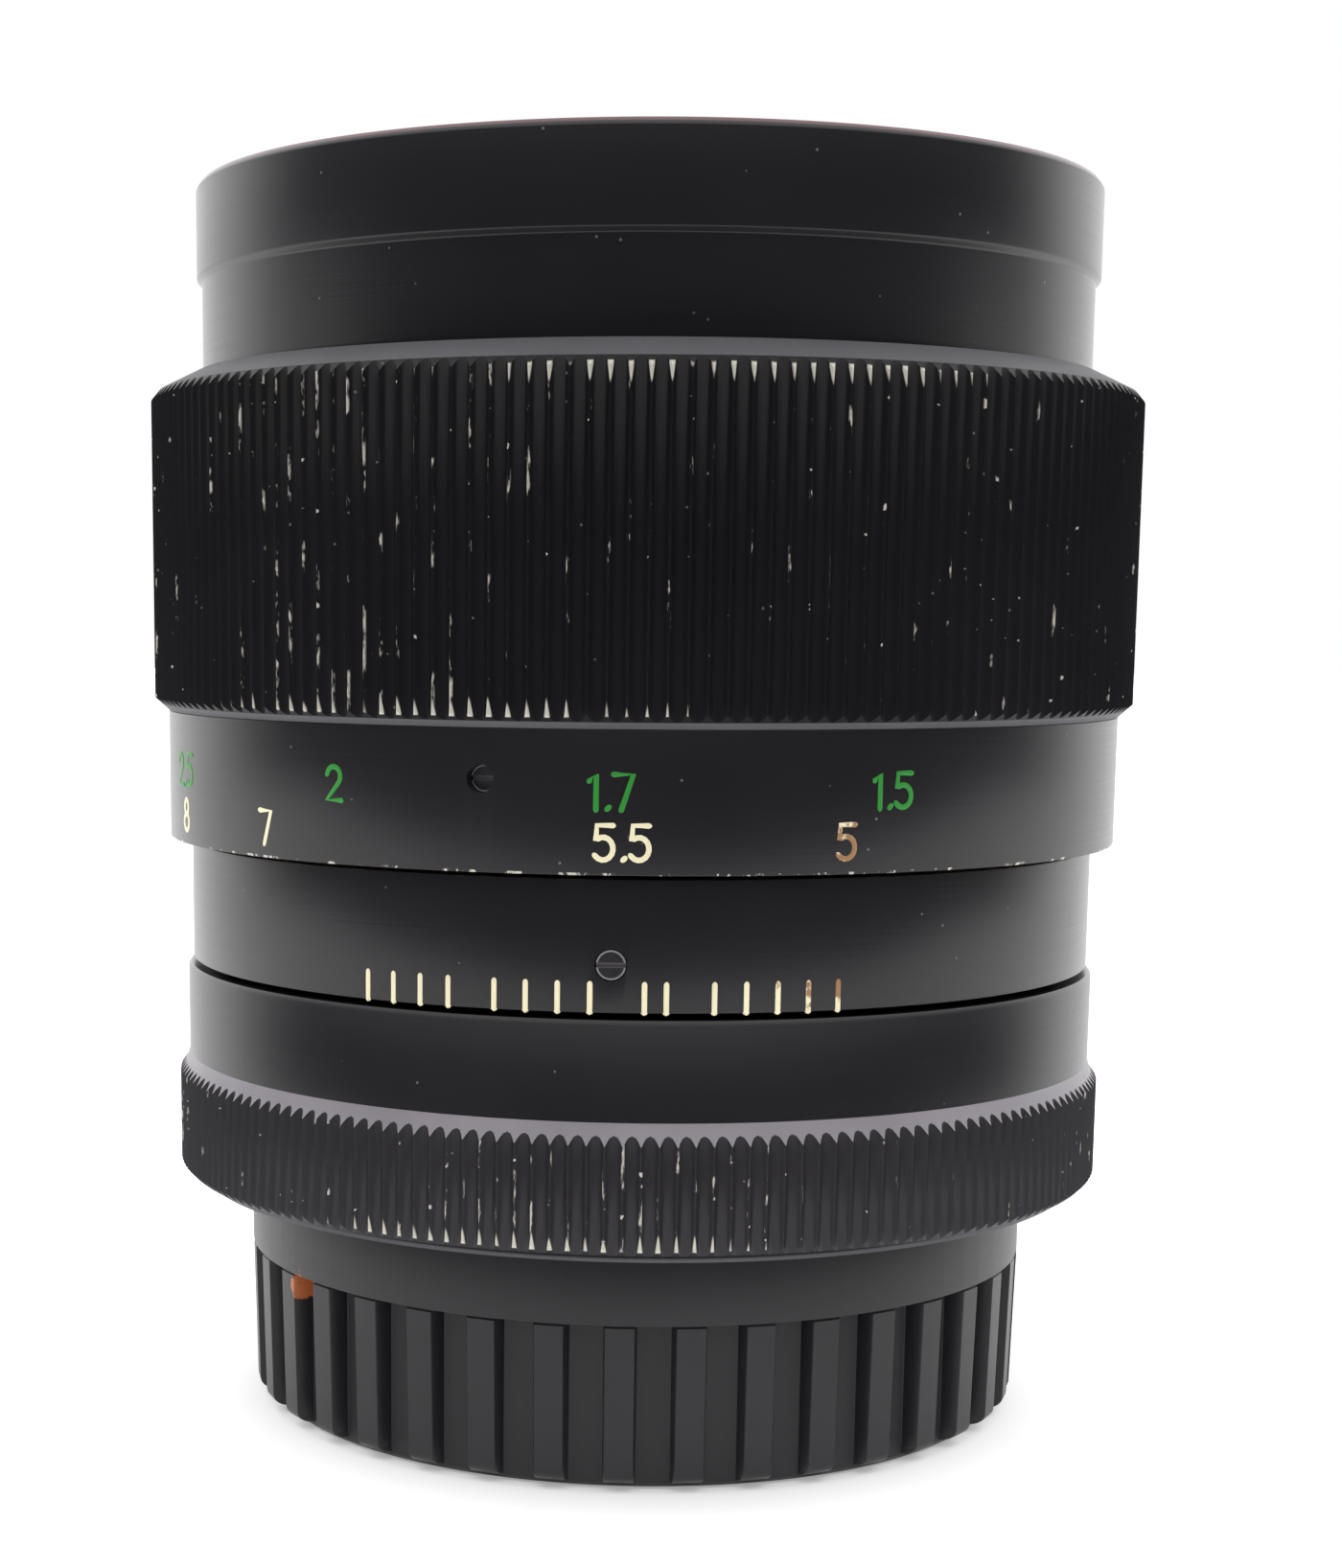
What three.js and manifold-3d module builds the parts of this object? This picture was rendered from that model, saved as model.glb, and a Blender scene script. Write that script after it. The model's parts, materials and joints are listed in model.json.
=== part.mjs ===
// A vintage 135 mm f/2.8 prime lens, standing on its rear cap with the front glass up.
// Millimetres, +Z is the optical axis towards the subject, z = 0 is the underside of the cap.
// Angles are in degrees round +Z, and 0 points to -Y.

import * as THREE from 'three';
import { mergeVertices } from 'three/addons/utils/BufferGeometryUtils.js';
import Module from 'manifold-3d';

const wasm = await Module();
wasm.setup();

// ---- driving dimensions -------------------------------------------------------------------

const OUTER_SIDES = 36;          // sides of the large turned rings
const INNER_SIDES = 24;          // sides of the turned parts inside
const CLEARANCE = 0.3;           // running gap between turned parts

const CAP_RADIUS = 30.2;
const CAP_RIM = 18.0;
const MOUNT_FACE = 15.6;         // the flange that rests against a camera
const LUG_BOTTOM = 11.0;         // rear end of the bayonet

const APERTURE_RADIUS = 35.0;    // smooth band of the aperture ring
const APERTURE_GRIP = 35.73;     // its knurled grip
const APERTURE_BOTTOM = 18.3;
const APERTURE_TOP = 34.15;
const APERTURE_TURN = 50;        // f/2.8 to f/16

const BARREL_RADIUS = 34.6;
const BARREL_BOTTOM = 34.6;
const BARREL_TOP = 43.5;
const SLEEVE_RADIUS = 31.0;      // outside of the fixed helicoid sleeve
const SLEEVE_INSIDE = 29.8;
const SLEEVE_TOP = 74.0;

const SKIRT_RADIUS = 36.25;      // distance scale skirt
const SKIRT_BOTTOM = 43.87;
const SKIRT_TOP = 53.35;
const FOCUS_RADIUS = 37.3;       // focus grip
const FOCUS_TOP = 78.2;
const FOCUS_BORE = 33.7;

const FRONT_RADIUS = 32.4;       // outside of the front barrel
const FILTER_RADIUS = 31.3;      // inside of its filter thread
const FRONT_TOP = 84.5;
const HOOD_RADIUS = 33.4;
const HOOD_RIM_RADIUS = 33.8;
const HOOD_RIM_BOTTOM = 85.0;
const HOOD_TOP = 91.8;

const LENS_BARREL_RADIUS = 29.4;
const LENS_BARREL_BORE = 27.9;
const REAR_CELL_RADIUS = 18.5;

const BLADES = 8;
const IRIS_OPEN = 14.5;          // radius of the fixed iris opening
const F_OPEN = 2.8;
const F_STOPS = [2.8, 4, 5.6, 8, 11, 16];
const PIVOT_RADIUS = 22.3;       // pitch circle of the blade pivots
const BLADE_INNER = 14.8;
const BLADE_OUTER = 21.4;
const BLADE_SPAN = 130;
const BLADE_THICKNESS = 0.15;
const BLADE_PITCH = 0.3;
const DRIVE_ARM = 5.5;           // pivot to drive pin
const PIN_RADIUS = 0.45;
const IRIS_WEB_BOTTOM = 51.0;
const CAM_TOP = 48.1;
const CAM_BOTTOM = 46.9;

const FORK_ANGLE = 290;          // where the aperture fork grips the iris drive rod, at f/2.8
const LEVER_ANGLE = 30;          // stop-down lever
const DETENT_ANGLE = 240;
const KEY_ANGLE = 180;
const LUG_ANGLES = [0, 120, 240];
const GAP_ANGLES = [60, 180, 300];
const BARREL_SCREW_ANGLE = -5.55;
const GRUB_SCREW_ANGLE = -19.4;

// ---- solids -------------------------------------------------------------------------------

const rad = THREE.MathUtils.degToRad;
const deg = THREE.MathUtils.radToDeg;

// A manifold solid from a closed three.js geometry, with its faces turned outwards.
function solid(geometry) {
  const bare = new THREE.BufferGeometry();
  bare.setAttribute('position', geometry.getAttribute('position').clone());
  if (geometry.index) bare.setIndex(geometry.index.clone());
  const merged = mergeVertices(bare, 1e-4);
  const corners = merged.index.array;
  const kept = [];
  for (let i = 0; i < corners.length; i += 3) {
    const [a, b, c] = [corners[i], corners[i + 1], corners[i + 2]];
    if (a !== b && b !== c && c !== a) kept.push(a, b, c);
  }
  const make = (indices) => new wasm.Manifold(new wasm.Mesh({
    numProp: 3,
    vertProperties: new Float32Array(merged.getAttribute('position').array),
    triVerts: new Uint32Array(indices),
  }));
  const body = make(kept);
  if (body.volume() > 0) return body;
  return make(kept.reverse());
}

// The three.js geometry of a manifold solid.
function geometryOf(body) {
  const mesh = body.getMesh();
  const geometry = new THREE.BufferGeometry();
  geometry.setAttribute('position', new THREE.BufferAttribute(mesh.vertProperties, 3));
  geometry.setIndex(new THREE.BufferAttribute(mesh.triVerts, 1));
  return geometry;
}

const joined = (first, ...others) => others.reduce((body, other) => body.add(other), first);
const cut = (first, ...others) => others.reduce((body, other) => body.subtract(other), first);

// A ring turned round Z from a closed outline of [radius, z] corners.
function turned(outline, sides = INNER_SIDES) {
  const points = [...outline, outline[0]].map(([r, z]) => new THREE.Vector2(r, z));
  return solid(new THREE.LatheGeometry(points, sides).rotateX(Math.PI / 2));
}

// A disc-like solid turned round Z, whose outline starts and ends on the axis.
function turnedSolid(outline, sides = INNER_SIDES) {
  const points = outline.map(([r, z]) => new THREE.Vector2(r, z));
  return solid(new THREE.LatheGeometry(points, sides).rotateX(Math.PI / 2));
}

// A plain ring with a rectangular section.
function band(inside, outside, bottom, top, sides = INNER_SIDES) {
  return turned([[inside, bottom], [outside, bottom], [outside, top], [inside, top]], sides);
}

// A piece of a ring between two angles.
function sector(inside, outside, from, to, bottom, top, steps = 8) {
  const shape = new THREE.Shape();
  for (let i = 0; i <= steps; i++) {
    const angle = rad(from + (to - from) * i / steps - 90);
    const [x, y] = [outside * Math.cos(angle), outside * Math.sin(angle)];
    if (i === 0) shape.moveTo(x, y);
    else shape.lineTo(x, y);
  }
  for (let i = steps; i >= 0; i--) {
    const angle = rad(from + (to - from) * i / steps - 90);
    shape.lineTo(inside * Math.cos(angle), inside * Math.sin(angle));
  }
  return plate(shape, bottom, top);
}

function plate(shape, bottom, top) {
  const settings = { depth: top - bottom, bevelEnabled: false };
  return solid(new THREE.ExtrudeGeometry(shape, settings).translate(0, 0, bottom));
}

// A block whose middle line runs outwards at an angle, between two radii.
function block(inside, outside, width, bottom, top, angle, aside = 0) {
  const box = new THREE.BoxGeometry(width, outside - inside, top - bottom);
  box.translate(aside, -(inside + outside) / 2, (bottom + top) / 2);
  return solid(box.rotateZ(rad(angle)));
}

// A cylinder that points outwards at an angle, between two radii.
function radialRod(radius, inside, outside, angle, z, sides = 12) {
  const rod = new THREE.CylinderGeometry(radius, radius, outside - inside, sides);
  rod.translate(0, -(inside + outside) / 2, 0);
  return solid(rod.rotateZ(rad(angle)).translate(0, 0, z));
}

// A cylinder along Z at a radius and an angle.
function axialRod(radius, pitch, angle, bottom, top, sides = 12) {
  const rod = new THREE.CylinderGeometry(radius, radius, top - bottom, sides).rotateX(Math.PI / 2);
  return solid(rod.translate(0, -pitch, (bottom + top) / 2).rotateZ(rad(angle)));
}

// Points of a spherical surface from the axis out to the edge of a glass.
function surface(vertex, curvature, edge, steps = 4) {
  const points = [];
  for (let i = 0; i <= steps; i++) {
    const r = edge * i / steps;
    const sag = Math.abs(curvature) - Math.sqrt(curvature * curvature - r * r);
    points.push([r, vertex - Math.sign(curvature) * sag]);
  }
  return points;
}

// A glass element: front and back vertex, radii of curvature (positive bulges forward), edge.
function glass(front, frontCurve, back, backCurve, edge) {
  return turnedSolid([...surface(back, backCurve, edge), ...surface(front, frontCurve, edge).reverse()]);
}

// ---- materials ----------------------------------------------------------------------------

const finish = (color, roughness, metalness) => new THREE.MeshStandardMaterial({ color, roughness, metalness });
const anodised = () => finish('#201d22', 0.4, 0.5);
const mattBlack = () => finish('#18171a', 0.8, 0.1);
const brass = () => finish('#b08d4f', 0.35, 1);
const steel = () => finish('#8f9094', 0.3, 1);
const chrome = () => finish('#c9cacc', 0.15, 1);

function clearGlass() {
  const material = finish('#cfd6ea', 0.02, 0);
  material.transparent = true;
  material.opacity = 0.4;
  return material;
}

const lens = new THREE.Group();
const assemblies = {};
for (const name of ['barrel', 'optics', 'focus', 'hood', 'aperture', 'iris', 'lever', 'cap']) {
  assemblies[name] = new THREE.Group();
  lens.add(assemblies[name]);
}

function piece(assembly, name, body, material) {
  const mesh = new THREE.Mesh(geometryOf(body), material);
  mesh.name = name;
  assemblies[assembly].add(mesh);
  return mesh;
}

// ---- iris motion --------------------------------------------------------------------------

// Swing of a blade that leaves an opening of the given f-number.
function bladeSwing(fNumber) {
  const opening = fNumber === F_OPEN ? BLADE_INNER : IRIS_OPEN * F_OPEN / fNumber;
  return deg(2 * Math.asin((BLADE_INNER - opening) / (2 * PIVOT_RADIUS)));
}

const FULL_SWING = bladeSwing(F_STOPS.at(-1));
const stopTurn = (fNumber) => bladeSwing(fNumber) / FULL_SWING * APERTURE_TURN;

// ---- barrel -------------------------------------------------------------------------------

const SCREW_Z = 37.8;
const SCREW_ANGLES = [0, 120, 240];
const SLEEVE_BOTTOM = 36.2;
const SPIGOT_INSIDE = 31.3;
const SPIGOT_RADIUS = 32.9;
const SPIGOT_TOP = 41.7;
const REAR_RADIUS = 32.2;
const REAR_BORE = 31.0;
const REAR_BOTTOM = 18.4;
const REAR_FLOOR = 20.1;

function slotted(radius, inside, outside, angle, z) {
  const slot = block(outside - 0.4, outside + 1, 2.4 * radius, z - 0.16, z + 0.16, angle);
  return cut(radialRod(radius, inside, outside, angle, z), slot);
}

function fixedBarrel() {
  const outline = [
    [33.2, BARREL_BOTTOM], [BARREL_RADIUS, BARREL_BOTTOM], [BARREL_RADIUS, BARREL_TOP],
    [SLEEVE_RADIUS, BARREL_TOP], [SLEEVE_RADIUS, SLEEVE_TOP], [SLEEVE_INSIDE, SLEEVE_TOP],
    [SLEEVE_INSIDE, SLEEVE_BOTTOM], [SLEEVE_RADIUS, SLEEVE_BOTTOM],
    [SLEEVE_RADIUS, SPIGOT_TOP + CLEARANCE], [33.2, SPIGOT_TOP + CLEARANCE],
  ];
  const keyway = block(29, 32, 6, 47, SLEEVE_TOP + 1, KEY_ANGLE);
  const holes = SCREW_ANGLES.map((turn) => radialRod(1.15, 32, 36, BARREL_SCREW_ANGLE + turn, SCREW_Z));
  return cut(turned(outline, OUTER_SIDES), keyway, ...holes);
}

function rearBarrel() {
  const outline = [
    [23.6, REAR_BOTTOM], [REAR_RADIUS, REAR_BOTTOM], [REAR_RADIUS, 34.45], [SPIGOT_RADIUS, 34.45],
    [SPIGOT_RADIUS, SPIGOT_TOP], [SPIGOT_INSIDE, SPIGOT_TOP], [SPIGOT_INSIDE, 35.7],
    [REAR_BORE, 35.4], [REAR_BORE, REAR_FLOOR], [23.6, REAR_FLOOR],
  ];
  const window = sector(30, 34, FORK_ANGLE - 7.5, FORK_ANGLE + APERTURE_TURN + 7.5, 23.6, 28.4, 10);
  const holes = [
    window,
    radialRod(1.0, 30, 34, DETENT_ANGLE, 27),
    ...SCREW_ANGLES.map((turn) => radialRod(1.15, 31, 34, BARREL_SCREW_ANGLE + turn, SCREW_Z)),
    ...GAP_ANGLES.map((angle) => axialRod(1.2, 25.6, angle, REAR_BOTTOM - 1, 19.8)),
  ];
  const springPost = axialRod(0.8, 29.2, LEVER_ANGLE + 47, REAR_FLOOR - 0.5, 22.4, 8);
  return joined(cut(turned(outline, OUTER_SIDES), ...holes), springPost);
}

function mountRing() {
  const outline = [
    [22.2, LUG_BOTTOM], [23.5, LUG_BOTTOM], [23.5, MOUNT_FACE], [27.4, MOUNT_FACE],
    [27.4, 18.1], [22.2, 18.1],
  ];
  const lugs = LUG_ANGLES.map((angle) => sector(23, 25.5, angle - 25, angle + 25, LUG_BOTTOM, 12.5, 5));
  const holes = GAP_ANGLES.map((angle) => axialRod(1.2, 25.6, angle, MOUNT_FACE - 1, 19));
  return cut(joined(turned(outline), ...lugs), ...holes);
}

function mountScrew(angle) {
  const slot = new THREE.BoxGeometry(3, 0.3, 0.8).translate(0, -25.6, MOUNT_FACE).rotateZ(rad(angle));
  return cut(axialRod(1.0, 25.6, angle, MOUNT_FACE + 0.05, 19.5), solid(slot));
}

function detentBall() {
  const ball = new THREE.SphereGeometry(0.8, 8, 6).translate(0, -31.45, 27);
  return solid(ball.rotateZ(rad(DETENT_ANGLE)));
}

piece('barrel', 'fixed_barrel', fixedBarrel(), anodised());
piece('barrel', 'rear_barrel', rearBarrel(), mattBlack());
piece('barrel', 'aperture_ring_retainer', band(31.0, 34.2, 17.6, 18.1), steel());
piece('barrel', 'mount_ring', mountRing(), chrome());
piece('barrel', 'rear_baffle',
  sector(19.1, 21.9, LEVER_ANGLE + 12, LEVER_ANGLE + 333, 16.6, 17.6, 20), mattBlack());
GAP_ANGLES.forEach((angle, i) => {
  piece('barrel', `mount_screw_${i + 1}`, mountScrew(angle), steel());
});
SCREW_ANGLES.forEach((turn, i) => {
  const screw = slotted(1.0, 31.6, BARREL_RADIUS - 0.1, BARREL_SCREW_ANGLE + turn, SCREW_Z);
  piece('barrel', `barrel_screw_${i + 1}`, screw, steel());
});
piece('barrel', 'detent_ball', detentBall(), steel());
piece('barrel', 'detent_spring', sector(30.0, 30.3, DETENT_ANGLE - 20, DETENT_ANGLE + 20, 25, 29, 6), steel());

// ---- focus ring, turning on the helicoid --------------------------------------------------

const GRUB_Z = 50.0;
const HELICOID_TOP = 60.2;

function focusRing() {
  const outline = [
    [35.0, SKIRT_BOTTOM], [SKIRT_RADIUS, SKIRT_BOTTOM], [SKIRT_RADIUS, SKIRT_TOP],
    [FOCUS_RADIUS, SKIRT_TOP + 0.95], [FOCUS_RADIUS, FOCUS_TOP - 1.8], [34.0, FOCUS_TOP],
    [FOCUS_BORE, FOCUS_TOP], [FOCUS_BORE, 57.5], [35.0, 57.5],
  ];
  const holes = SCREW_ANGLES.map((turn) => radialRod(1.15, 34, 38, GRUB_SCREW_ANGLE + turn, GRUB_Z));
  return cut(turned(outline, OUTER_SIDES), ...holes);
}

function movingHelicoid() {
  const outline = [
    [31.3, 44.3], [34.7, 44.3], [34.7, 57.2], [33.4, 57.2], [33.4, HELICOID_TOP], [31.3, HELICOID_TOP],
  ];
  const holes = SCREW_ANGLES.map((turn) => radialRod(1.15, 33, 36, GRUB_SCREW_ANGLE + turn, GRUB_Z));
  return cut(turned(outline, OUTER_SIDES), ...holes);
}

piece('focus', 'focus_ring', focusRing(), anodised());
piece('focus', 'moving_helicoid', movingHelicoid(), brass());
piece('focus', 'captive_ring', band(32.7, 33.4, 62.3, 63.6, OUTER_SIDES), brass());
SCREW_ANGLES.forEach((turn, i) => {
  const screw = slotted(0.9, 33.3, 35.6, GRUB_SCREW_ANGLE + turn, GRUB_Z);
  piece('focus', `focus_grub_screw_${i + 1}`, screw, steel());
});

// ---- front barrel, cells and glass, which slide forward -----------------------------------

const WEB_BOTTOM = 75.0;
const KEY_SCREW_Z = 54.0;

function frontBarrel() {
  const groove = FRONT_RADIUS - 0.45;
  return turned([
    [FILTER_RADIUS, 60.5], [33.2, 60.5], [33.2, 62.0], [FRONT_RADIUS, 62.0], [FRONT_RADIUS, 80.8],
    [groove, 80.8], [groove, 83.2], [FRONT_RADIUS, 83.2], [FRONT_RADIUS, FRONT_TOP],
    [FILTER_RADIUS, FRONT_TOP], [FILTER_RADIUS, WEB_BOTTOM + 1.5], [28.0, WEB_BOTTOM + 1.5],
    [28.0, WEB_BOTTOM], [FILTER_RADIUS, WEB_BOTTOM],
  ], OUTER_SIDES);
}

function lensBarrel() {
  const webTop = IRIS_WEB_BOTTOM + 1.5;
  const outline = [
    [LENS_BARREL_BORE, 44.0], [LENS_BARREL_RADIUS, 44.0], [LENS_BARREL_RADIUS, 74.7],
    [LENS_BARREL_BORE, 74.7], [LENS_BARREL_BORE, webTop], [18.8, webTop], [18.8, 63.2],
    [17.3, 63.2], [17.3, webTop], [IRIS_OPEN, webTop], [IRIS_OPEN, IRIS_WEB_BOTTOM],
    [LENS_BARREL_BORE, IRIS_WEB_BOTTOM],
  ];
  const holes = [radialRod(1.05, 27, 30, KEY_ANGLE, KEY_SCREW_Z)];
  for (let i = 0; i < BLADES; i++) {
    holes.push(axialRod(0.65, PIVOT_RADIUS, i * 360 / BLADES, IRIS_WEB_BOTTOM - 1, webTop + 1, 8));
  }
  return cut(turned(outline), ...holes);
}

function frontCell() {
  return turned([
    [19.4, 62.0], [27.6, 62.0], [27.6, 80.5], [24.8, 80.5], [24.8, 70.4], [21.3, 70.4],
    [21.3, 63.3], [19.4, 63.3],
  ]);
}

function rearCell() {
  return turned([
    [16.5, 22.0], [REAR_CELL_RADIUS, 22.0], [REAR_CELL_RADIUS, 43.1], [22.6, 43.1], [22.6, 44.6],
    [15.3, 44.6], [15.3, 27.4], [13.2, 27.4], [13.2, 26.2],
  ]);
}

function irisCover() {
  const window = sector(23.0, 25.4, FORK_ANGLE - 5, FORK_ANGLE + APERTURE_TURN + 5, 44, 47, 10);
  return cut(band(15.0, 27.6, 44.9, 46.1), window);
}

function focusKey() {
  const key = block(29.7, 30.9, 5.4, 50, 58, KEY_ANGLE);
  return cut(key, radialRod(1.05, 29, 32, KEY_ANGLE, KEY_SCREW_Z));
}

piece('optics', 'front_barrel', frontBarrel(), anodised());
piece('optics', 'hood_felt', band(32.05, 32.6, 81.0, 83.0, OUTER_SIDES), finish('#151416', 1, 0));
piece('optics', 'name_ring', turned([
  [25.0, 80.8], [31.0, 80.8], [31.0, 82.4], [30.4, 82.4], [25.0, 81.3],
], OUTER_SIDES), mattBlack());
piece('optics', 'front_cell', frontCell(), mattBlack());
piece('optics', 'lens_barrel', lensBarrel(), mattBlack());
piece('optics', 'lens_element_1', glass(79.5, 60, 72.5, 180, 24.5), clearGlass());
piece('optics', 'lens_element_2', glass(71.6, 48, 65.6, 110, 21), clearGlass());
piece('optics', 'lens_element_3', glass(60.5, -70, 58.0, 32, 17), clearGlass());
piece('optics', 'lens_element_4', glass(31.5, 60, 26.5, -60, 15), clearGlass());
piece('optics', 'front_retaining_ring', band(23.2, 24.5, 75.2, 77.2), mattBlack());
piece('optics', 'lens_spacer', band(19.6, 21.0, 67.8, 70.9), mattBlack());
piece('optics', 'middle_retaining_ring', band(15.3, 17.0, 62.9, 64.0), mattBlack());
piece('optics', 'rear_retaining_ring', band(13.4, 15.0, 30.4, 31.6), mattBlack());
piece('optics', 'rear_cell', rearCell(), mattBlack());
piece('optics', 'iris_cover', irisCover(), mattBlack());
piece('optics', 'focus_key', focusKey(), brass());
piece('optics', 'focus_key_screw', slotted(0.8, 28.3, 30.6, KEY_ANGLE, KEY_SCREW_Z), steel());

// ---- hood ---------------------------------------------------------------------------------

piece('hood', 'hood', turned([
  [32.7, 64.0], [HOOD_RADIUS, 64.0], [HOOD_RADIUS, HOOD_RIM_BOTTOM],
  [HOOD_RIM_RADIUS, HOOD_RIM_BOTTOM + 0.4], [HOOD_RIM_RADIUS, HOOD_TOP - 0.5],
  [HOOD_RIM_RADIUS - 0.3, HOOD_TOP], [32.9, HOOD_TOP], [32.7, HOOD_TOP - 0.2],
], OUTER_SIDES), anodised());

// ---- aperture ring and its fork -----------------------------------------------------------

function apertureRing() {
  const outline = [
    [32.5, APERTURE_BOTTOM], [APERTURE_GRIP - 0.3, APERTURE_BOTTOM], [APERTURE_GRIP, APERTURE_BOTTOM + 0.3],
    [APERTURE_GRIP, 26.76], [APERTURE_RADIUS, 27.1], [APERTURE_RADIUS, APERTURE_TOP - 0.25],
    [APERTURE_RADIUS - 0.25, APERTURE_TOP], [32.5, APERTURE_TOP],
  ];
  const pocket = block(32, 33.8, 6.8, 23.4, 28.6, FORK_ANGLE);
  const notches = F_STOPS.map((f) => axialRod(0.9, 32.4, DETENT_ANGLE - stopTurn(f), 25.5, 28.5, 8));
  return cut(turned(outline, OUTER_SIDES), pocket, ...notches);
}

function apertureFork() {
  return joined(
    block(25.4, 33.4, 6, 24, 28, FORK_ANGLE),
    block(23.2, 26.0, 1.5, 24, 40, FORK_ANGLE, -2.25),
    block(23.2, 26.0, 1.5, 24, 40, FORK_ANGLE, 2.25),
  );
}

piece('aperture', 'aperture_ring', apertureRing(), anodised());
piece('aperture', 'aperture_fork', apertureFork(), brass());

// ---- iris ---------------------------------------------------------------------------------

// Centre of a drive pin at part t of the blade's swing, seen from the pivot, as the cam ring sees it.
function drivePin(t, offset = 0) {
  const swing = rad(FULL_SWING * t);
  const reach = DRIVE_ARM;
  const x = PIVOT_RADIUS + reach * Math.sin(swing);
  const y = -reach * Math.cos(swing);
  const angle = Math.atan2(y, x) - rad(APERTURE_TURN * t);
  const radius = Math.hypot(x, y) + offset;
  return new THREE.Vector2(radius * Math.cos(angle), radius * Math.sin(angle));
}

// A cam slot: the drive pin's path with clearance on both sides and round ends.
function camSlot(turn) {
  const halfWidth = PIN_RADIUS + 0.2;
  const steps = 7;
  const outline = [];
  for (let i = 0; i <= steps; i++) outline.push(drivePin(i / steps, halfWidth));
  const end = drivePin(1);
  const start = drivePin(0);
  const endDirection = drivePin(1).sub(drivePin(0.95)).setLength(halfWidth);
  const startDirection = drivePin(0).sub(drivePin(0.05)).setLength(halfWidth);
  outline.push(end.add(endDirection));
  for (let i = steps; i >= 0; i--) outline.push(drivePin(i / steps, -halfWidth));
  outline.push(start.add(startDirection));
  return new THREE.Path(outline.map((p) => p.rotateAround(new THREE.Vector2(), rad(turn - 90))));
}

function irisCamRing() {
  const shape = new THREE.Shape();
  const edge = (path, radius) => {
    for (let i = 0; i < INNER_SIDES; i++) {
      const angle = 2 * Math.PI * i / INNER_SIDES;
      const [x, y] = [radius * Math.cos(angle), radius * Math.sin(angle)];
      if (i === 0) path.moveTo(x, y);
      else path.lineTo(x, y);
    }
    return path;
  };
  edge(shape, 26.95);
  shape.holes.push(edge(new THREE.Path(), 15.2));
  for (let i = 0; i < BLADES; i++) shape.holes.push(camSlot(i * 360 / BLADES));
  const foot = block(20.0, 25.0, 3.2, CAM_BOTTOM - 0.5, CAM_BOTTOM + 0.2, FORK_ANGLE);
  const rod = block(23.4, 25.0, 2.4, 22.5, CAM_BOTTOM, FORK_ANGLE);
  return joined(plate(shape, CAM_BOTTOM, CAM_TOP), foot, rod);
}

// One blade, seen from its pivot: x points away from the axis, y along the pitch circle.
function irisBlade(level) {
  const at = (r, angle) => [r * Math.cos(rad(angle)) - PIVOT_RADIUS, r * Math.sin(rad(angle))];
  const steps = 8;
  const outline = [];
  for (let i = 0; i <= steps; i++) outline.push(at(BLADE_INNER, 12 + (BLADE_SPAN - 12) * i / steps));
  for (let i = steps; i >= 0; i--) outline.push(at(BLADE_OUTER, 5 + (BLADE_SPAN - 5) * i / steps));
  outline.push([0.6, 1.1], [1.2, 0], [1.1, -DRIVE_ARM], [0.5, -6.4], [-0.5, -6.4], [-1.1, -DRIVE_ARM]);
  const shape = new THREE.Shape(outline.map(([x, y]) => new THREE.Vector2(x, y)));
  const pin = (x, y, bottom, top) => {
    const rod = new THREE.CylinderGeometry(PIN_RADIUS, PIN_RADIUS, top - bottom, 6).rotateX(Math.PI / 2);
    return solid(rod.translate(x, y, (bottom + top) / 2));
  };
  const top = level + BLADE_THICKNESS;
  const pivot = pin(0, 0, level + 0.05, IRIS_WEB_BOTTOM + 1);
  const drive = pin(0, -DRIVE_ARM, CAM_BOTTOM + 0.5, level + 0.1);
  return joined(plate(shape, level, top), pivot, drive);
}

piece('iris', 'iris_cam_ring', irisCamRing(), brass());
for (let i = 0; i < BLADES; i++) {
  const angle = i * 360 / BLADES;
  const level = IRIS_WEB_BOTTOM - 0.45 - BLADE_PITCH * i;
  const blade = piece('iris', `iris_blade_${i + 1}`, irisBlade(level), steel());
  blade.position.set(PIVOT_RADIUS * Math.sin(rad(angle)), -PIVOT_RADIUS * Math.cos(rad(angle)), 0);
  blade.rotation.z = rad(angle - 90);
}

// ---- stop-down lever ----------------------------------------------------------------------

function stopDownRing() {
  return joined(
    band(24.5, 27.0, 20.4, 21.6),
    block(20.0, 25.5, 4, 20.4, 21.6, LEVER_ANGLE),
    block(20.0, 21.8, 4, 11.5, 21.0, LEVER_ANGLE),
    block(26.5, 29.8, 1.6, 20.4, 21.6, LEVER_ANGLE),
  );
}

// The return spring, coiled along an arc between the lever ring's ear and the barrel's post.
function stopDownSpring() {
  const turns = 6;
  const steps = turns * 7;
  const arcRadius = 28.9;
  const arcHeight = 21.6;
  const coilRadius = 0.75;
  const wireRadius = 0.2;
  const wireSides = 5;
  const points = [];
  for (let i = 0; i <= steps; i++) {
    const angle = rad(LEVER_ANGLE + 5 + 37 * i / steps - 90);
    const phase = 2 * Math.PI * turns * i / steps;
    const radius = arcRadius + coilRadius * Math.cos(phase);
    const z = arcHeight + coilRadius * Math.sin(phase);
    points.push(new THREE.Vector3(radius * Math.cos(angle), radius * Math.sin(angle), z));
  }
  const wire = new THREE.Shape();
  for (let i = 0; i < wireSides; i++) {
    const angle = 2 * Math.PI * i / wireSides;
    const [x, y] = [wireRadius * Math.cos(angle), wireRadius * Math.sin(angle)];
    if (i === 0) wire.moveTo(x, y);
    else wire.lineTo(x, y);
  }
  const path = new THREE.CatmullRomCurve3(points);
  return solid(new THREE.ExtrudeGeometry(wire, { steps, extrudePath: path, bevelEnabled: false }));
}

piece('lever', 'stop_down_ring', stopDownRing(), steel());
piece('barrel', 'stop_down_spring', stopDownSpring(), steel());

// ---- rear cap -----------------------------------------------------------------------------

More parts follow.
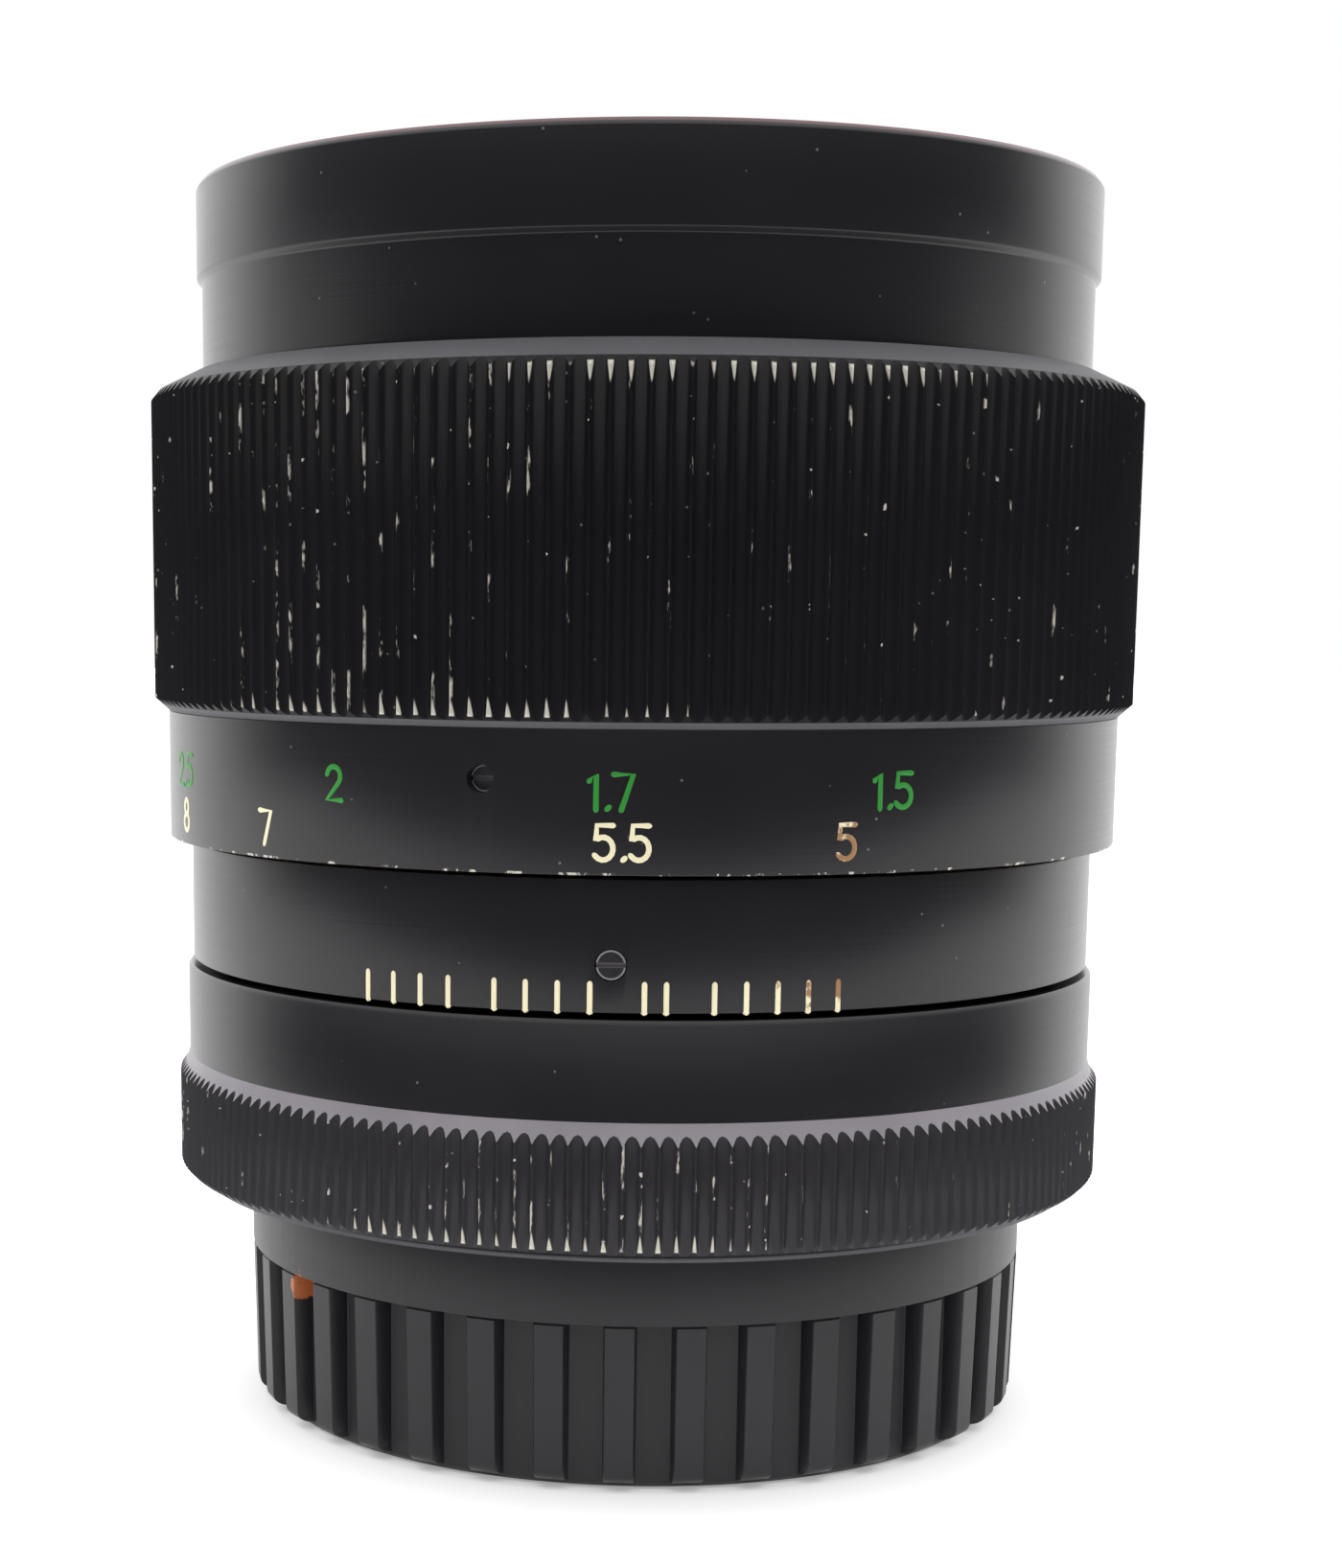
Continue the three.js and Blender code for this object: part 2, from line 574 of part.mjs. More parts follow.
function rearCap() {
  const bore = 26.6;
  const mouth = 28.6;
  const floor = 1.9;
  const draft = 0.3;
  const lugInner = 24.2;
  const lugHalfAngle = 20;
  const cup = turnedSolid([
    [0, 0], [mouth, 0], [mouth + 1.0, 0.6], [CAP_RADIUS - draft, 1.4], [CAP_RADIUS, 12.0],
    [CAP_RADIUS, CAP_RIM - 0.4], [CAP_RADIUS - 0.3, CAP_RIM], [mouth, CAP_RIM], [mouth, 12.6],
    [bore, 11.6], [bore, floor], [0, floor],
  ], OUTER_SIDES);
  const lugs = GAP_ANGLES.map((angle) => (
    sector(lugInner, mouth + 0.4, angle - lugHalfAngle, angle + lugHalfAngle, 12.9, 14.6, 4)));
  return joined(cup, ...lugs);
}

piece('cap', 'rear_cap', rearCap(), finish('#2c2b2e', 0.5, 0));

export default lens;
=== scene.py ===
"""Looks of a vintage prime lens that stands on its rear cap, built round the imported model."""

import json
import math

import bmesh
import bpy
from bpy.props import FloatProperty, FloatVectorProperty, IntProperty, PointerProperty
from mathutils import Matrix, Vector


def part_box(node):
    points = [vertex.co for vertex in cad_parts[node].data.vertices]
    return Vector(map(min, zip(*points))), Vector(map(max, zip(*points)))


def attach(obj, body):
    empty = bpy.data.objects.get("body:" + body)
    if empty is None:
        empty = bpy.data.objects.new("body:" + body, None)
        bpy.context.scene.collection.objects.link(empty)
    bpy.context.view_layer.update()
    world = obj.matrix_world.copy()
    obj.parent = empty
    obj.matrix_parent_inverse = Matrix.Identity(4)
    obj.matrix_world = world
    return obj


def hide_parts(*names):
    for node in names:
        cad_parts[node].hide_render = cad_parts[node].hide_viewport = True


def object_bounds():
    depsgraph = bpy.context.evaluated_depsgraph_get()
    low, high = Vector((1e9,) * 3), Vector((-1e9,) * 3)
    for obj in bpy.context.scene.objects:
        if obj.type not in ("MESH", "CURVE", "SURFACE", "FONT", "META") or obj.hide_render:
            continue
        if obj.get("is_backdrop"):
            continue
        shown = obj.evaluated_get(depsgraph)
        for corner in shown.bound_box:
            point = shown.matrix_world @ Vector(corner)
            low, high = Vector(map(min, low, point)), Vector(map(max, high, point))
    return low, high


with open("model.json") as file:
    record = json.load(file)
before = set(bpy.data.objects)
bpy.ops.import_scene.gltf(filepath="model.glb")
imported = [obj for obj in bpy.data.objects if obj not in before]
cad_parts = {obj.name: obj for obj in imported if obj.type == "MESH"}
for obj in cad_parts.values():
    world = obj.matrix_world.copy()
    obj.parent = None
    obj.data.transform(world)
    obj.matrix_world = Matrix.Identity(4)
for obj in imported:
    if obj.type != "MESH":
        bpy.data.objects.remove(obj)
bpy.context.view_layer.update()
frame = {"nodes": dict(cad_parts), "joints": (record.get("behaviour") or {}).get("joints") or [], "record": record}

bl_info = {
    "name": "Vintage prime lens",
    "version": (1, 0, 0),
    "blender": (4, 5, 0),
    "location": "3D View > Sidebar > Prime lens",
    "description": "Builds the visible pieces and finishes of a vintage prime lens",
    "category": "Object",
}

MM = 0.001
WRAP_RADIUS = 35.0        # cylinder that patterns are unrolled on, in millimetres
RUN_OUT = (0.5, 0.68)     # how far down and up the grooves of a knurl run on past its ridges
FINE = 0.9                # depth of the aperture knurl against the focus knurl
RIM_WIDTH, RIM_DROP = 0.13, 0.03    # the bare rim round a screw's end, in millimetres
SKIRT_DROP = 1.05         # how far the scale skirt lies inside the focus ring's ridges
BLADE_INNER, BLADE_OUTER = 14.8, 21.4    # radii of an open iris blade, in millimetres
OPENING, WIDEST = 14.5, 2.8         # radius of the full opening, and its f-number
MADE = {}


# ---- values read from the frame ------------------------------------------------------------

def reach(node):
    """Outer radius of a turned CAD node, in millimetres."""
    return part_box(node)[1].x / MM


def bottom(node):
    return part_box(node)[0].z / MM


def top(node):
    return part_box(node)[1].z / MM


def span(node):
    """Lower end, upper end and outer radius of a turned CAD node, in millimetres."""
    return bottom(node), top(node), reach(node)


def middle(node):
    return (bottom(node) + top(node)) / 2


def tooth_depth():
    return bpy.context.scene.lens_sizes.tooth_depth / MM


def joint(name):
    return next(j for j in frame["joints"] if j["name"] == name)


def pivot(i):
    """Where the i-th iris blade turns, across the axis, in metres."""
    return joint(f"blade_{i + 1}_swing")["pos_m"][:2]


def angle_of(node):
    """Angle round +Z of a small CAD node, in degrees from -Y."""
    low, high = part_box(node)
    centre = (low + high) / 2
    return math.degrees(math.atan2(centre.x, -centre.y))


def linear(colour):
    """Linear colour, with full alpha, of an sRGB hex colour."""
    parts = [int(colour[i:i + 2], 16) / 255 for i in (1, 3, 5)]
    return (*(p / 12.92 if p <= 0.04045 else ((p + 0.055) / 1.055) ** 2.4 for p in parts), 1.0)


# ---- sizes and colours a user would change -------------------------------------------------

def length(name, description, default):
    return FloatProperty(name=name, description=description, default=default * MM, unit="LENGTH",
                         precision=5)


def colour(name, description, default):
    return FloatVectorProperty(name=name, description=description, default=linear(default)[:3],
                               subtype="COLOR", min=0, max=1)


class LENS_PG_sizes(bpy.types.PropertyGroup):
    focus_teeth: IntProperty(name="Focus teeth", description="Teeth of the focus grip", default=180)
    aperture_teeth: IntProperty(name="Aperture teeth", description="Teeth of the aperture grip",
                                default=184)
    tooth_depth: length("Tooth depth", "Depth of the knurling", 0.55)
    cap_ribs: IntProperty(name="Cap ribs", description="Ribs round the rear cap", default=38)
    rib_depth: length("Rib depth", "Height of the cap's ribs", 1.6)
    numeral_height: length("Numeral height", "Height of the engraved numerals", 2.25)
    stroke: length("Stroke", "Width of an engraved stroke", 0.5)
    thread_pitch: length("Thread pitch", "Pitch of the filter thread", 0.75)


class LENS_PG_colours(bpy.types.PropertyGroup):
    anodised: colour("Anodised black", "Black anodised aluminium", "#19171b")
    chamfer: colour("Chamfer", "Bead-blasted chamfers", "#57575b")
    plastic: colour("Cap plastic", "Moulded black plastic", "#242326")
    bare_metal: colour("Bare metal", "Aluminium that shows where the black is worn off", "#d8d4c8")
    metres: colour("Metres", "Paint of the metre numerals", "#2c8c33")
    feet: colour("Feet", "Paint of the feet numerals", "#f4ebc6")
    stain: colour("Stain", "Brown stain on old paint", "#a8805a")
    rust: colour("Rust", "Rust-coloured dirt", "#b8683a")


# ---- materials -----------------------------------------------------------------------------

def add(tree, kind, inputs=None, output=0, **settings):
    """Adds one shader node. Inputs are constants or links by socket, settings its attributes."""
    made = tree.nodes.new("ShaderNode" + kind)
    for name, setting in settings.items():
        setattr(made, name, setting)
    for socket, item in (inputs or {}).items():
        if isinstance(item, bpy.types.NodeSocket):
            tree.links.new(item, made.inputs[socket])
        else:
            made.inputs[socket].default_value = item
    return made.outputs[output] if len(made.outputs) else None


def tint(name, shade=1.0):
    """A colour of the panel, made darker or paler."""
    return (*(c * shade for c in getattr(bpy.context.scene.lens_colours, name)), 1.0)


def mottle(tree, place, size, detail=2.0, roughness=0.5):
    """An uneven pattern whose spots have a given size in millimetres along each axis."""
    stretched = add(tree, "VectorMath", {0: place, 1: [1 / s for s in size]}, operation="MULTIPLY")
    return add(tree, "TexNoise", {"Vector": stretched, "Scale": 1.0, "Detail": detail,
                                  "Roughness": roughness})


def placed(tree):
    """Where a point is, in millimetres."""
    place = add(tree, "TexCoord", output="Object")
    return add(tree, "VectorMath", {0: place, "Scale": 1 / MM}, operation="SCALE")


def turned_place(tree):
    """Where a point is on a turned part: in space, unrolled, and its arc, height and radius."""
    place = placed(tree)
    x, y, height = add(tree, "SeparateXYZ", {0: place}).node.outputs
    back = add(tree, "Math", {0: y, 1: -1.0}, operation="MULTIPLY")
    angle = add(tree, "Math", {0: x, 1: back}, operation="ARCTAN2")
    arc = add(tree, "Math", {0: angle, 1: WRAP_RADIUS}, operation="MULTIPLY")
    level = add(tree, "CombineXYZ", {0: x, 1: y})
    radius = add(tree, "VectorMath", {0: level}, "Value", operation="LENGTH")
    return place, add(tree, "CombineXYZ", {0: arc, 1: height}), arc, height, radius


def dusted(tree, place, shade):
    """Pale specks of dust about 0.2 mm across, some millimetres apart."""
    spread = add(tree, "TexVoronoi", {"Vector": place, "Scale": 0.55}, "Distance")
    near = add(tree, "Math", {0: spread, 1: 0.055}, operation="LESS_THAN")
    chosen = add(tree, "Math", {0: mottle(tree, place, (2.9,) * 3), 1: 0.52}, operation="GREATER_THAN")
    mask = add(tree, "Math", {0: near, 1: chosen}, operation="MULTIPLY")
    mask = add(tree, "Math", {0: mask, 1: 0.5}, operation="MULTIPLY")
    return add(tree, "Mix", {0: mask, 6: shade, 7: linear("#8d8a88")}, 2, data_type="RGBA")


def blank(name):
    """A new material without nodes, and its node tree."""
    made = bpy.data.materials.new(name)
    made.use_nodes = True
    made.node_tree.nodes.clear()
    return made, made.node_tree


def clouded(tree, place, base, size, low, high, lift):
    """A colour that is paler by the factor lift in soft clouds of a size in millimetres."""
    cloud = add(tree, "MapRange", {0: mottle(tree, place, (size,) * 3, 3.0), 1: low, 2: high})
    paler = (*(c * lift for c in base[:3]), 1.0)
    return add(tree, "Mix", {0: cloud, 6: base, 7: paler}, 2, data_type="RGBA")


def turned_finish(name, base, roughness=0.3, sheen=0.4, worn=None):
    """A turned surface: fine lines round it, a slightly uneven colour and specks of dust. The
    lines are 0.12 mm apart, coarser than a real feed, so that they show."""
    made, tree = blank(name)
    at = turned_place(tree)
    lines = mottle(tree, at[1], (50.0, 0.12, 1.0), 3.0, 0.7)
    shade = dusted(tree, at[0], clouded(tree, at[0], base, 12.0, 0.35, 0.7, 1.35))
    # a second colour by a mask: bare metal where a part is worn, and a painted highlight along the hood's rim
    if worn:
        mask, bare_and_highlight = worn(tree, at)
        shade = add(tree, "Mix", {0: mask, 6: shade, 7: bare_and_highlight}, 2, data_type="RGBA")
    surface = add(tree, "BsdfPrincipled", {
        "Base Color": shade, "Specular IOR Level": sheen,
        "Roughness": add(tree, "MapRange", {0: lines, 3: roughness - 0.06, 4: roughness + 0.06}),
        "Normal": add(tree, "Bump", {"Height": lines, "Strength": 0.25, "Distance": 0.02 * MM})})
    add(tree, "OutputMaterial", {"Surface": surface})
    return made


def grained_finish(name, base, roughness, grain, depth=0.01, metallic=0.0, dirt=None):
    """A surface with a fine grain: its size and depth are in millimetres."""
    made, tree = blank(name)
    place = placed(tree)
    fine = mottle(tree, place, (grain,) * 3, 3.0, 0.6)
    shade = clouded(tree, place, base, 10.0, 0.3, 0.75, 1.3)
    if dirt:
        mask, soil = dirt(tree, place)
        shade = add(tree, "Mix", {0: mask, 6: shade, 7: soil}, 2, data_type="RGBA")
    surface = add(tree, "BsdfPrincipled", {
        "Base Color": shade, "Metallic": metallic, "Specular IOR Level": 0.5 if metallic else 0.35,
        "Roughness": add(tree, "MapRange", {0: fine, 3: roughness - 0.07, 4: roughness + 0.07}),
        "Normal": add(tree, "Bump", {"Height": fine, "Strength": 0.35, "Distance": depth * MM})})
    add(tree, "OutputMaterial", {"Surface": surface})
    return made


def worn_ridges(tip, depth, ends, streaks_at, ends_at, seed):
    """Bare metal on the ridges of a knurl: thin streaks along them, and bright worn ends. ends are
    the heights where the ridges stop. Streaks gather round the angle streaks_at, and the lower and
    upper ends are worn round the two angles ends_at, in degrees."""
    def worn(tree, at):
        _, wrapped, arc, height, radius = at
        moved = add(tree, "VectorMath", {0: wrapped, 1: (seed, seed, 0.0)}, operation="ADD")

        def around(degrees, half, full=1.0):
            """full at an angle, falling to 0 at half millimetres from it along the arc."""
            away = add(tree, "Math", {0: arc, 1: math.radians(degrees) * WRAP_RADIUS},
                       operation="SUBTRACT")
            away = add(tree, "Math", {0: away}, operation="ABSOLUTE")
            return add(tree, "MapRange", {0: away, 1: half, 2: half / 2, 4: full})

        # streaks and specks, only on the ridges
        ridge = add(tree, "MapRange", {0: radius, 1: tip - depth * 0.34, 2: tip - depth * 0.16})
        chance = add(tree, "Math", {0: mottle(tree, moved, (0.9, 5.0, 1.0), 4.0, 0.7),
                                    1: around(streaks_at, 14.0, 0.07)}, operation="ADD")
        streaks = add(tree, "MapRange", {0: chance, 1: 0.63, 2: 0.69})
        specks = add(tree, "MapRange", {0: mottle(tree, moved, (0.6, 0.77, 1.0)), 1: 0.7, 2: 0.73})
        loose = add(tree, "Math", {0: streaks, 1: specks}, operation="MAXIMUM")
        loose = add(tree, "Math", {0: loose, 1: ridge}, operation="MULTIPLY")
        # near the lower and the upper end
        near = []
        for end, way, degrees, half in ((ends[0], -1, ends_at[0], 20.0), (ends[1], 1, ends_at[1], 22.0)):
            close = add(tree, "MapRange", {0: height, 1: end - way * 1.3, 2: end + way * 0.1})
            near.append(add(tree, "Math", {0: close, 1: around(degrees, half)}, operation="MULTIPLY"))
        near_end = add(tree, "Math", {0: near[0], 1: near[1]}, operation="MAXIMUM")
        # the bare strip widens from the ridge's tip towards its end
        strip = add(tree, "Math", {0: near_end, 1: -0.5 * depth, 2: tip - 0.1 * depth},
                    operation="MULTIPLY_ADD")
        strip = add(tree, "MapRange", {0: radius, 1: strip, 2: tip})
        broken = add(tree, "MapRange", {0: mottle(tree, moved, (2.9, 5.0, 1.0), 3.0), 1: 0.34, 2: 0.6})
        mask = near_end
        for part in (strip, broken):
            mask = add(tree, "Math", {0: mask, 1: part}, operation="MULTIPLY")
        mask = add(tree, "MapRange", {0: mask, 1: 0.12, 2: 0.3})
        mask = add(tree, "Math", {0: mask, 1: loose}, operation="MAXIMUM")
        above = add(tree, "Math", {0: height, 1: ends[0] - 0.5}, operation="GREATER_THAN")
        below = add(tree, "Math", {0: height, 1: ends[1] + 0.55}, operation="LESS_THAN")
        for part in (above, below):
            mask = add(tree, "Math", {0: mask, 1: part}, operation="MULTIPLY")
        return mask, tint("bare_metal")
    return worn


def worn_edge(edge, width, chance, bare_and_highlight):
    """Short dashes, about 1.5 mm long, of a second colour along a turned edge at a given height: worn bare metal
    on the skirt, and a painted highlight on the hood's rim.
    """
    def worn(tree, at):
        _, wrapped, _, height, _ = at
        near = add(tree, "Math", {0: height, 1: edge, 2: width}, operation="COMPARE")
        dashes = mottle(tree, wrapped, (1.4, 2.5, 1.0), 5.0, 0.75)
        dashes = add(tree, "MapRange", {0: dashes, 1: chance, 2: chance + 0.03})
        return add(tree, "Math", {0: near, 1: dashes}, operation="MULTIPLY"), bare_and_highlight
    return worn


def patch(centre, size, soil, threshold):
    """A ragged patch of dirt round a point, in millimetres."""
    def dirt(tree, place):
        away = add(tree, "VectorMath", {0: place, 1: centre}, "Value", operation="DISTANCE")
        near = add(tree, "MapRange", {0: away, 1: size, 2: size * 0.3})
        ragged = mottle(tree, place, (1.1,) * 3, 5.0, 0.7)
        mask = add(tree, "Math", {0: near, 1: ragged}, operation="MULTIPLY")
        return add(tree, "MapRange", {0: mask, 1: threshold, 2: threshold + 0.06}), soil
    return dirt


def optical_glass():
    made, tree = blank("optical_glass_coated")
    haze = mottle(tree, placed(tree), (2.0,) * 3, 4.0, 0.6)
    surface = add(tree, "BsdfPrincipled", {
        "Base Color": linear("#f7f6ff"), "IOR": 1.6, "Transmission Weight": 1.0,
        "Roughness": add(tree, "MapRange", {0: haze, 1: 0.45, 2: 0.8, 4: 0.03}),
        "Thin Film Thickness": 110.0, "Thin Film IOR": 1.38})
    add(tree, "OutputMaterial", {"Surface": surface})
    return made


def grip_ends():
    """Heights where the ridges of the focus grip stop."""
    return bottom("focus_ring") + 10.43, top("focus_ring") - 2.05


def aperture_grip_ends():
    return bottom("aperture_ring") + 0.52, bottom("aperture_ring") + 7.5


FINISHES = {
    # turned and anodised: near black with a soft sheen that turns pale at the sides
    "anodised": lambda: turned_finish("anodised_aluminium_turned", tint("anodised")),
    # the same, with the black rubbed off its lower edge in bright dashes
    "skirt": lambda: turned_finish("anodised_aluminium_scale_skirt", tint("anodised"), worn=worn_edge(
        bottom("focus_ring") + 0.06, 0.11, 0.56, tint("bare_metal"))),
    # the same, with a dull red brown band painted round the top edge of its rim as a highlight
    "hood": lambda: turned_finish("anodised_aluminium_hood", tint("anodised"), worn=worn_edge(
        top("hood"), 0.25, 0.2, linear("#6b4a50"))),
    # bead blasted before anodising: an even dark grey without highlights
    "blasted": lambda: grained_finish("anodised_aluminium_blasted", tint("chamfer"), 0.62, 0.12, 0.02),
    # blasted and rubbed by hands: a paler, half bright grey
    "rubbed": lambda: grained_finish("anodised_aluminium_rubbed", linear("#848086"), 0.45, 0.12, 0.02),
    # knurled: black grooves, and ridges that are worn to bright metal
    "focus_grip": lambda: turned_finish(
        "anodised_aluminium_knurled", tint("anodised", 0.7), 0.45, 0.2,
        worn_ridges(reach("focus_ring"), tooth_depth(), grip_ends(), -32.0, (-25.0, 6.0), 3.0)),
    # finer knurling, handled more: greyer, with the same worn ridges
    "aperture_grip": lambda: turned_finish(
        "anodised_aluminium_knurled_fine", tint("anodised", 1.5), 0.5, 0.4,
        worn_ridges(reach("aperture_ring"), tooth_depth() * FINE, aperture_grip_ends(), -8.0,
                    (-14.0, 180.0), 71.0)),
    # moulded with a fine texture: a dull grey black, with one spot of rusty dirt
    "plastic": lambda: grained_finish("abs_plastic_moulded", tint("plastic"), 0.4, 0.18, 0.02,
                                      dirt=patch((-24.8, -15.5, 11.4), 2.6, tint("rust"), 0.33)),
    # enamel wiped into the engraving: flat clear colours
    "green_paint": lambda: grained_finish("engraving_enamel_green", tint("metres"), 0.5, 0.2),
    "cream_paint": lambda: grained_finish("engraving_enamel_cream", tint("feet"), 0.55, 0.2),
    # the same enamel, part soaked with brown
    "stained_paint": lambda: grained_finish("engraving_enamel_stained", tint("feet"), 0.6, 0.3,
                                            dirt=patch((12.0, -33.5, 41.0), 11.0, tint("stain"), 0.3)),
    # sprayed matt paint: swallows light inside the barrel
    "matt_black": lambda: grained_finish("anti_reflection_paint_sprayed", linear("#131214"), 0.85, 0.25,
                                         0.03),
    # turned brass: warm yellow metal where the helicoid shows
    "brass": lambda: grained_finish("brass_turned", linear("#b08d4f"), 0.3, 0.3, metallic=1.0),
    # blackened steel: dark metal with a low gleam
    "steel": lambda: grained_finish("steel_blackened", linear("#4a4a4d"), 0.32, 0.3, metallic=1.0),
    # satin chrome on brass: a bright even metal
    "chrome": lambda: grained_finish("chrome_plate_satin", linear("#c6c7c9"), 0.2, 0.3, metallic=1.0),
    # pressed felt: black and soft, without any shine
    "felt": lambda: grained_finish("felt_pressed", linear("#101011"), 0.95, 0.35, 0.15),
    # polished and coated glass: clear, with faint violet reflections
    "glass": optical_glass,
}


def finish(key):
    """The material of a finish, made the first time that it is asked for."""
    name = MADE.get(key, "")
    if name not in bpy.data.materials:
        MADE[key] = name = FINISHES[key]().name
    return bpy.data.materials[name]


# ---- mesh work -----------------------------------------------------------------------------

def spin(radius, degrees, z):
    """A point in metres from a radius, an angle from -Y and a height, in millimetres."""
    turn = math.radians(degrees)
    return Vector((radius * math.sin(turn), -radius * math.cos(turn), z)) * MM


def linked(name, work):
    """A new object of the scene from a mesh under work, which is freed."""
    mesh = bpy.data.meshes.new(name)
    work.to_mesh(mesh)
    work.free()
    made = bpy.data.objects.new(name, mesh)
    bpy.context.scene.collection.objects.link(made)
    return made


def finish_mesh(name, mesh, finishes, sharp=28):
    """Turns faces outwards, smooths all but sharp edges and links the new object."""
    work = bmesh.new()
    work.from_mesh(mesh)
    bmesh.ops.recalc_face_normals(work, faces=work.faces)
    work.to_mesh(mesh)
    work.free()
    mesh.shade_smooth()
    mesh.set_sharp_from_angle(angle=math.radians(sharp))
    made = bpy.data.objects.new(name, mesh)
    bpy.context.scene.collection.objects.link(made)
    for key in finishes:
        mesh.materials.append(finish(key))
    return made


def softened(outline, radius=0.12):
    """The outline with each corner replaced by a small two-step round."""
    made = []
    count = len(outline)
    for i, here in enumerate(outline):
        here = Vector(here)
        to_last = Vector(outline[i - 1]) - here
        to_next = Vector(outline[(i + 1) % count]) - here
        size = min(radius, to_last.length * 0.4, to_next.length * 0.4)
        first = here + to_last.normalized() * size
        last = here + to_next.normalized() * size
        made += [first, (first + last + here * 2) / 4, last]
    return made


def wrap_columns(name, columns, finishes, pick=None, sharp=28):
    """A closed ring from columns of points. pick(row) names the finish of a row of faces."""
    rows = len(columns[0])
    points = [p for column in columns for p in column]
    faces = []
    slots = []
    for i in range(len(columns)):
        after = (i + 1) % len(columns)
        for j in range(rows):
            up = (j + 1) % rows
            faces.append((i * rows + j, after * rows + j, after * rows + up, i * rows + up))
            slots.append(pick(j) if pick else 0)
    mesh = bpy.data.meshes.new(name)
    mesh.from_pydata(points, [], faces)
    for face, slot in zip(mesh.polygons, slots):
        face.material_index = slot
    return finish_mesh(name, mesh, finishes, sharp)


def turned(name, outline, key, steps=192, soft=0.12):
    """A ring turned from a closed outline of radius and height, with softened edges."""
    outline = softened(outline, soft)
    columns = [[spin(r, 360 * i / steps, z) for r, z in outline] for i in range(steps)]
    return wrap_columns(name, columns, [key])


def disc_turned(name, outline, key, steps=128):
    """A solid turned from an outline that starts and ends on the axis."""
    inner = outline[1:-1]
    mesh = bpy.data.meshes.new(name)
    points = [spin(r, 360 * i / steps, z) for i in range(steps) for r, z in inner]
    points += [Vector((0, 0, outline[0][1])) * MM, Vector((0, 0, outline[-1][1])) * MM]
    rows = len(inner)
    low, high = len(points) - 2, len(points) - 1
    faces = []
    for i in range(steps):
        after = (i + 1) % steps
        faces.append((low, after * rows, i * rows))
        faces.append((high, i * rows + rows - 1, after * rows + rows - 1))
        for j in range(rows - 1):
            faces.append((i * rows + j, after * rows + j, after * rows + j + 1, i * rows + j + 1))
    mesh.from_pydata(points, [], faces)
    return finish_mesh(name, mesh, [key])


def outwards(inside, outside, degrees, z):
    """The move to halfway between two radii, at an angle from -Y and a height."""
    out = Matrix.Translation(Vector((0, -(inside + outside) / 2, z)) * MM)
    return Matrix.Rotation(math.radians(degrees), 4, "Z") @ out


def rod(name, radius, long, place, sides):
    """A round bar, upright before it is placed."""
    work = bmesh.new()
    bmesh.ops.create_cone(work, cap_ends=True, segments=sides, radius1=radius * MM,
                          radius2=radius * MM, depth=long * MM)
    bmesh.ops.transform(work, matrix=place, verts=work.verts)
    return linked(name, work)


def radial_rod(name, radius, inside, outside, degrees, z):
    """A round bar that points outwards from the axis."""
    lie = Matrix.Rotation(math.radians(90), 4, "X")
    return rod(name, radius, outside - inside, outwards(inside, outside, degrees, z) @ lie, 40)


def upright_rod(name, radius, x, y, low, high):
    """A round bar along the optical axis; x and y are in metres."""
    return rod(name, radius, high - low, Matrix.Translation((x, y, (low + high) / 2 * MM)), 24)


def block(name, width, inside, outside, low, high, degrees):
    """A rectangular bar across a radius."""
    work = bmesh.new()
    bmesh.ops.create_cube(work, size=1)
    size = Matrix.Diagonal((width * MM, (outside - inside) * MM, (high - low) * MM, 1))
    bmesh.ops.transform(work, matrix=outwards(inside, outside, degrees, (low + high) / 2) @ size,
                        verts=work.verts)
    return linked(name, work)


def extrude(work, outline, thickness):
    """Fills a level outline and raises it by a thickness in millimetres."""
    base = work.faces.new([work.verts.new(point) for point in outline])
    grown = bmesh.ops.extrude_face_region(work, geom=[base])["geom"]
    raised = [g for g in grown if isinstance(g, bmesh.types.BMVert)]
    bmesh.ops.translate(work, vec=(0, 0, thickness * MM), verts=raised)


def sector(name, inside, outside, centre, half, low, high, steps=16):
    """A piece of a ring on both sides of an angle."""
    turns = [centre - half + 2 * half * i / steps for i in range(steps + 1)]
    outline = [(outside, a) for a in turns] + [(inside, a) for a in reversed(turns)]
    work = bmesh.new()
    extrude(work, [spin(r, a, low) for r, a in outline], high - low)
    bmesh.ops.recalc_face_normals(work, faces=work.faces)
    return linked(name, work)


def plain_ring(node, inside, key, body, slot, name=""):
    """A ring of a plain section, between an inner radius and the box of its CAD node."""
    low, high, outside = span(node)
    outline = [(inside, low), (outside, low), (outside, high), (inside, high)]
    hold(turned(name or node + "_smooth", outline, key), body, slot, node)


def screw_holes(screws, radius, inside, outside):
    return [radial_rod("hole", radius, inside, outside, angle_of(s), middle(s)) for s in screws]


def combine(piece, tools, operation, sharp=28):
    """Cuts or joins tools into a piece for good, and removes the tools."""
    for tool in tools:
        step = piece.modifiers.new("combine", "BOOLEAN")
        step.operation = operation
        step.solver = "EXACT"
        step.object = tool
    graph = bpy.context.evaluated_depsgraph_get()
    mesh = bpy.data.meshes.new_from_object(piece.evaluated_get(graph))
    piece.modifiers.clear()
    piece.data = mesh
    mesh.shade_smooth()
    mesh.set_sharp_from_angle(angle=math.radians(sharp))
    for tool in tools:
        bpy.data.objects.remove(tool)


def hold(piece, body, slot, *nodes):
    """The piece rides a body and stands for CAD nodes; slot is not used."""
    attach(piece, body)
    if nodes:
        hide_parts(*nodes)


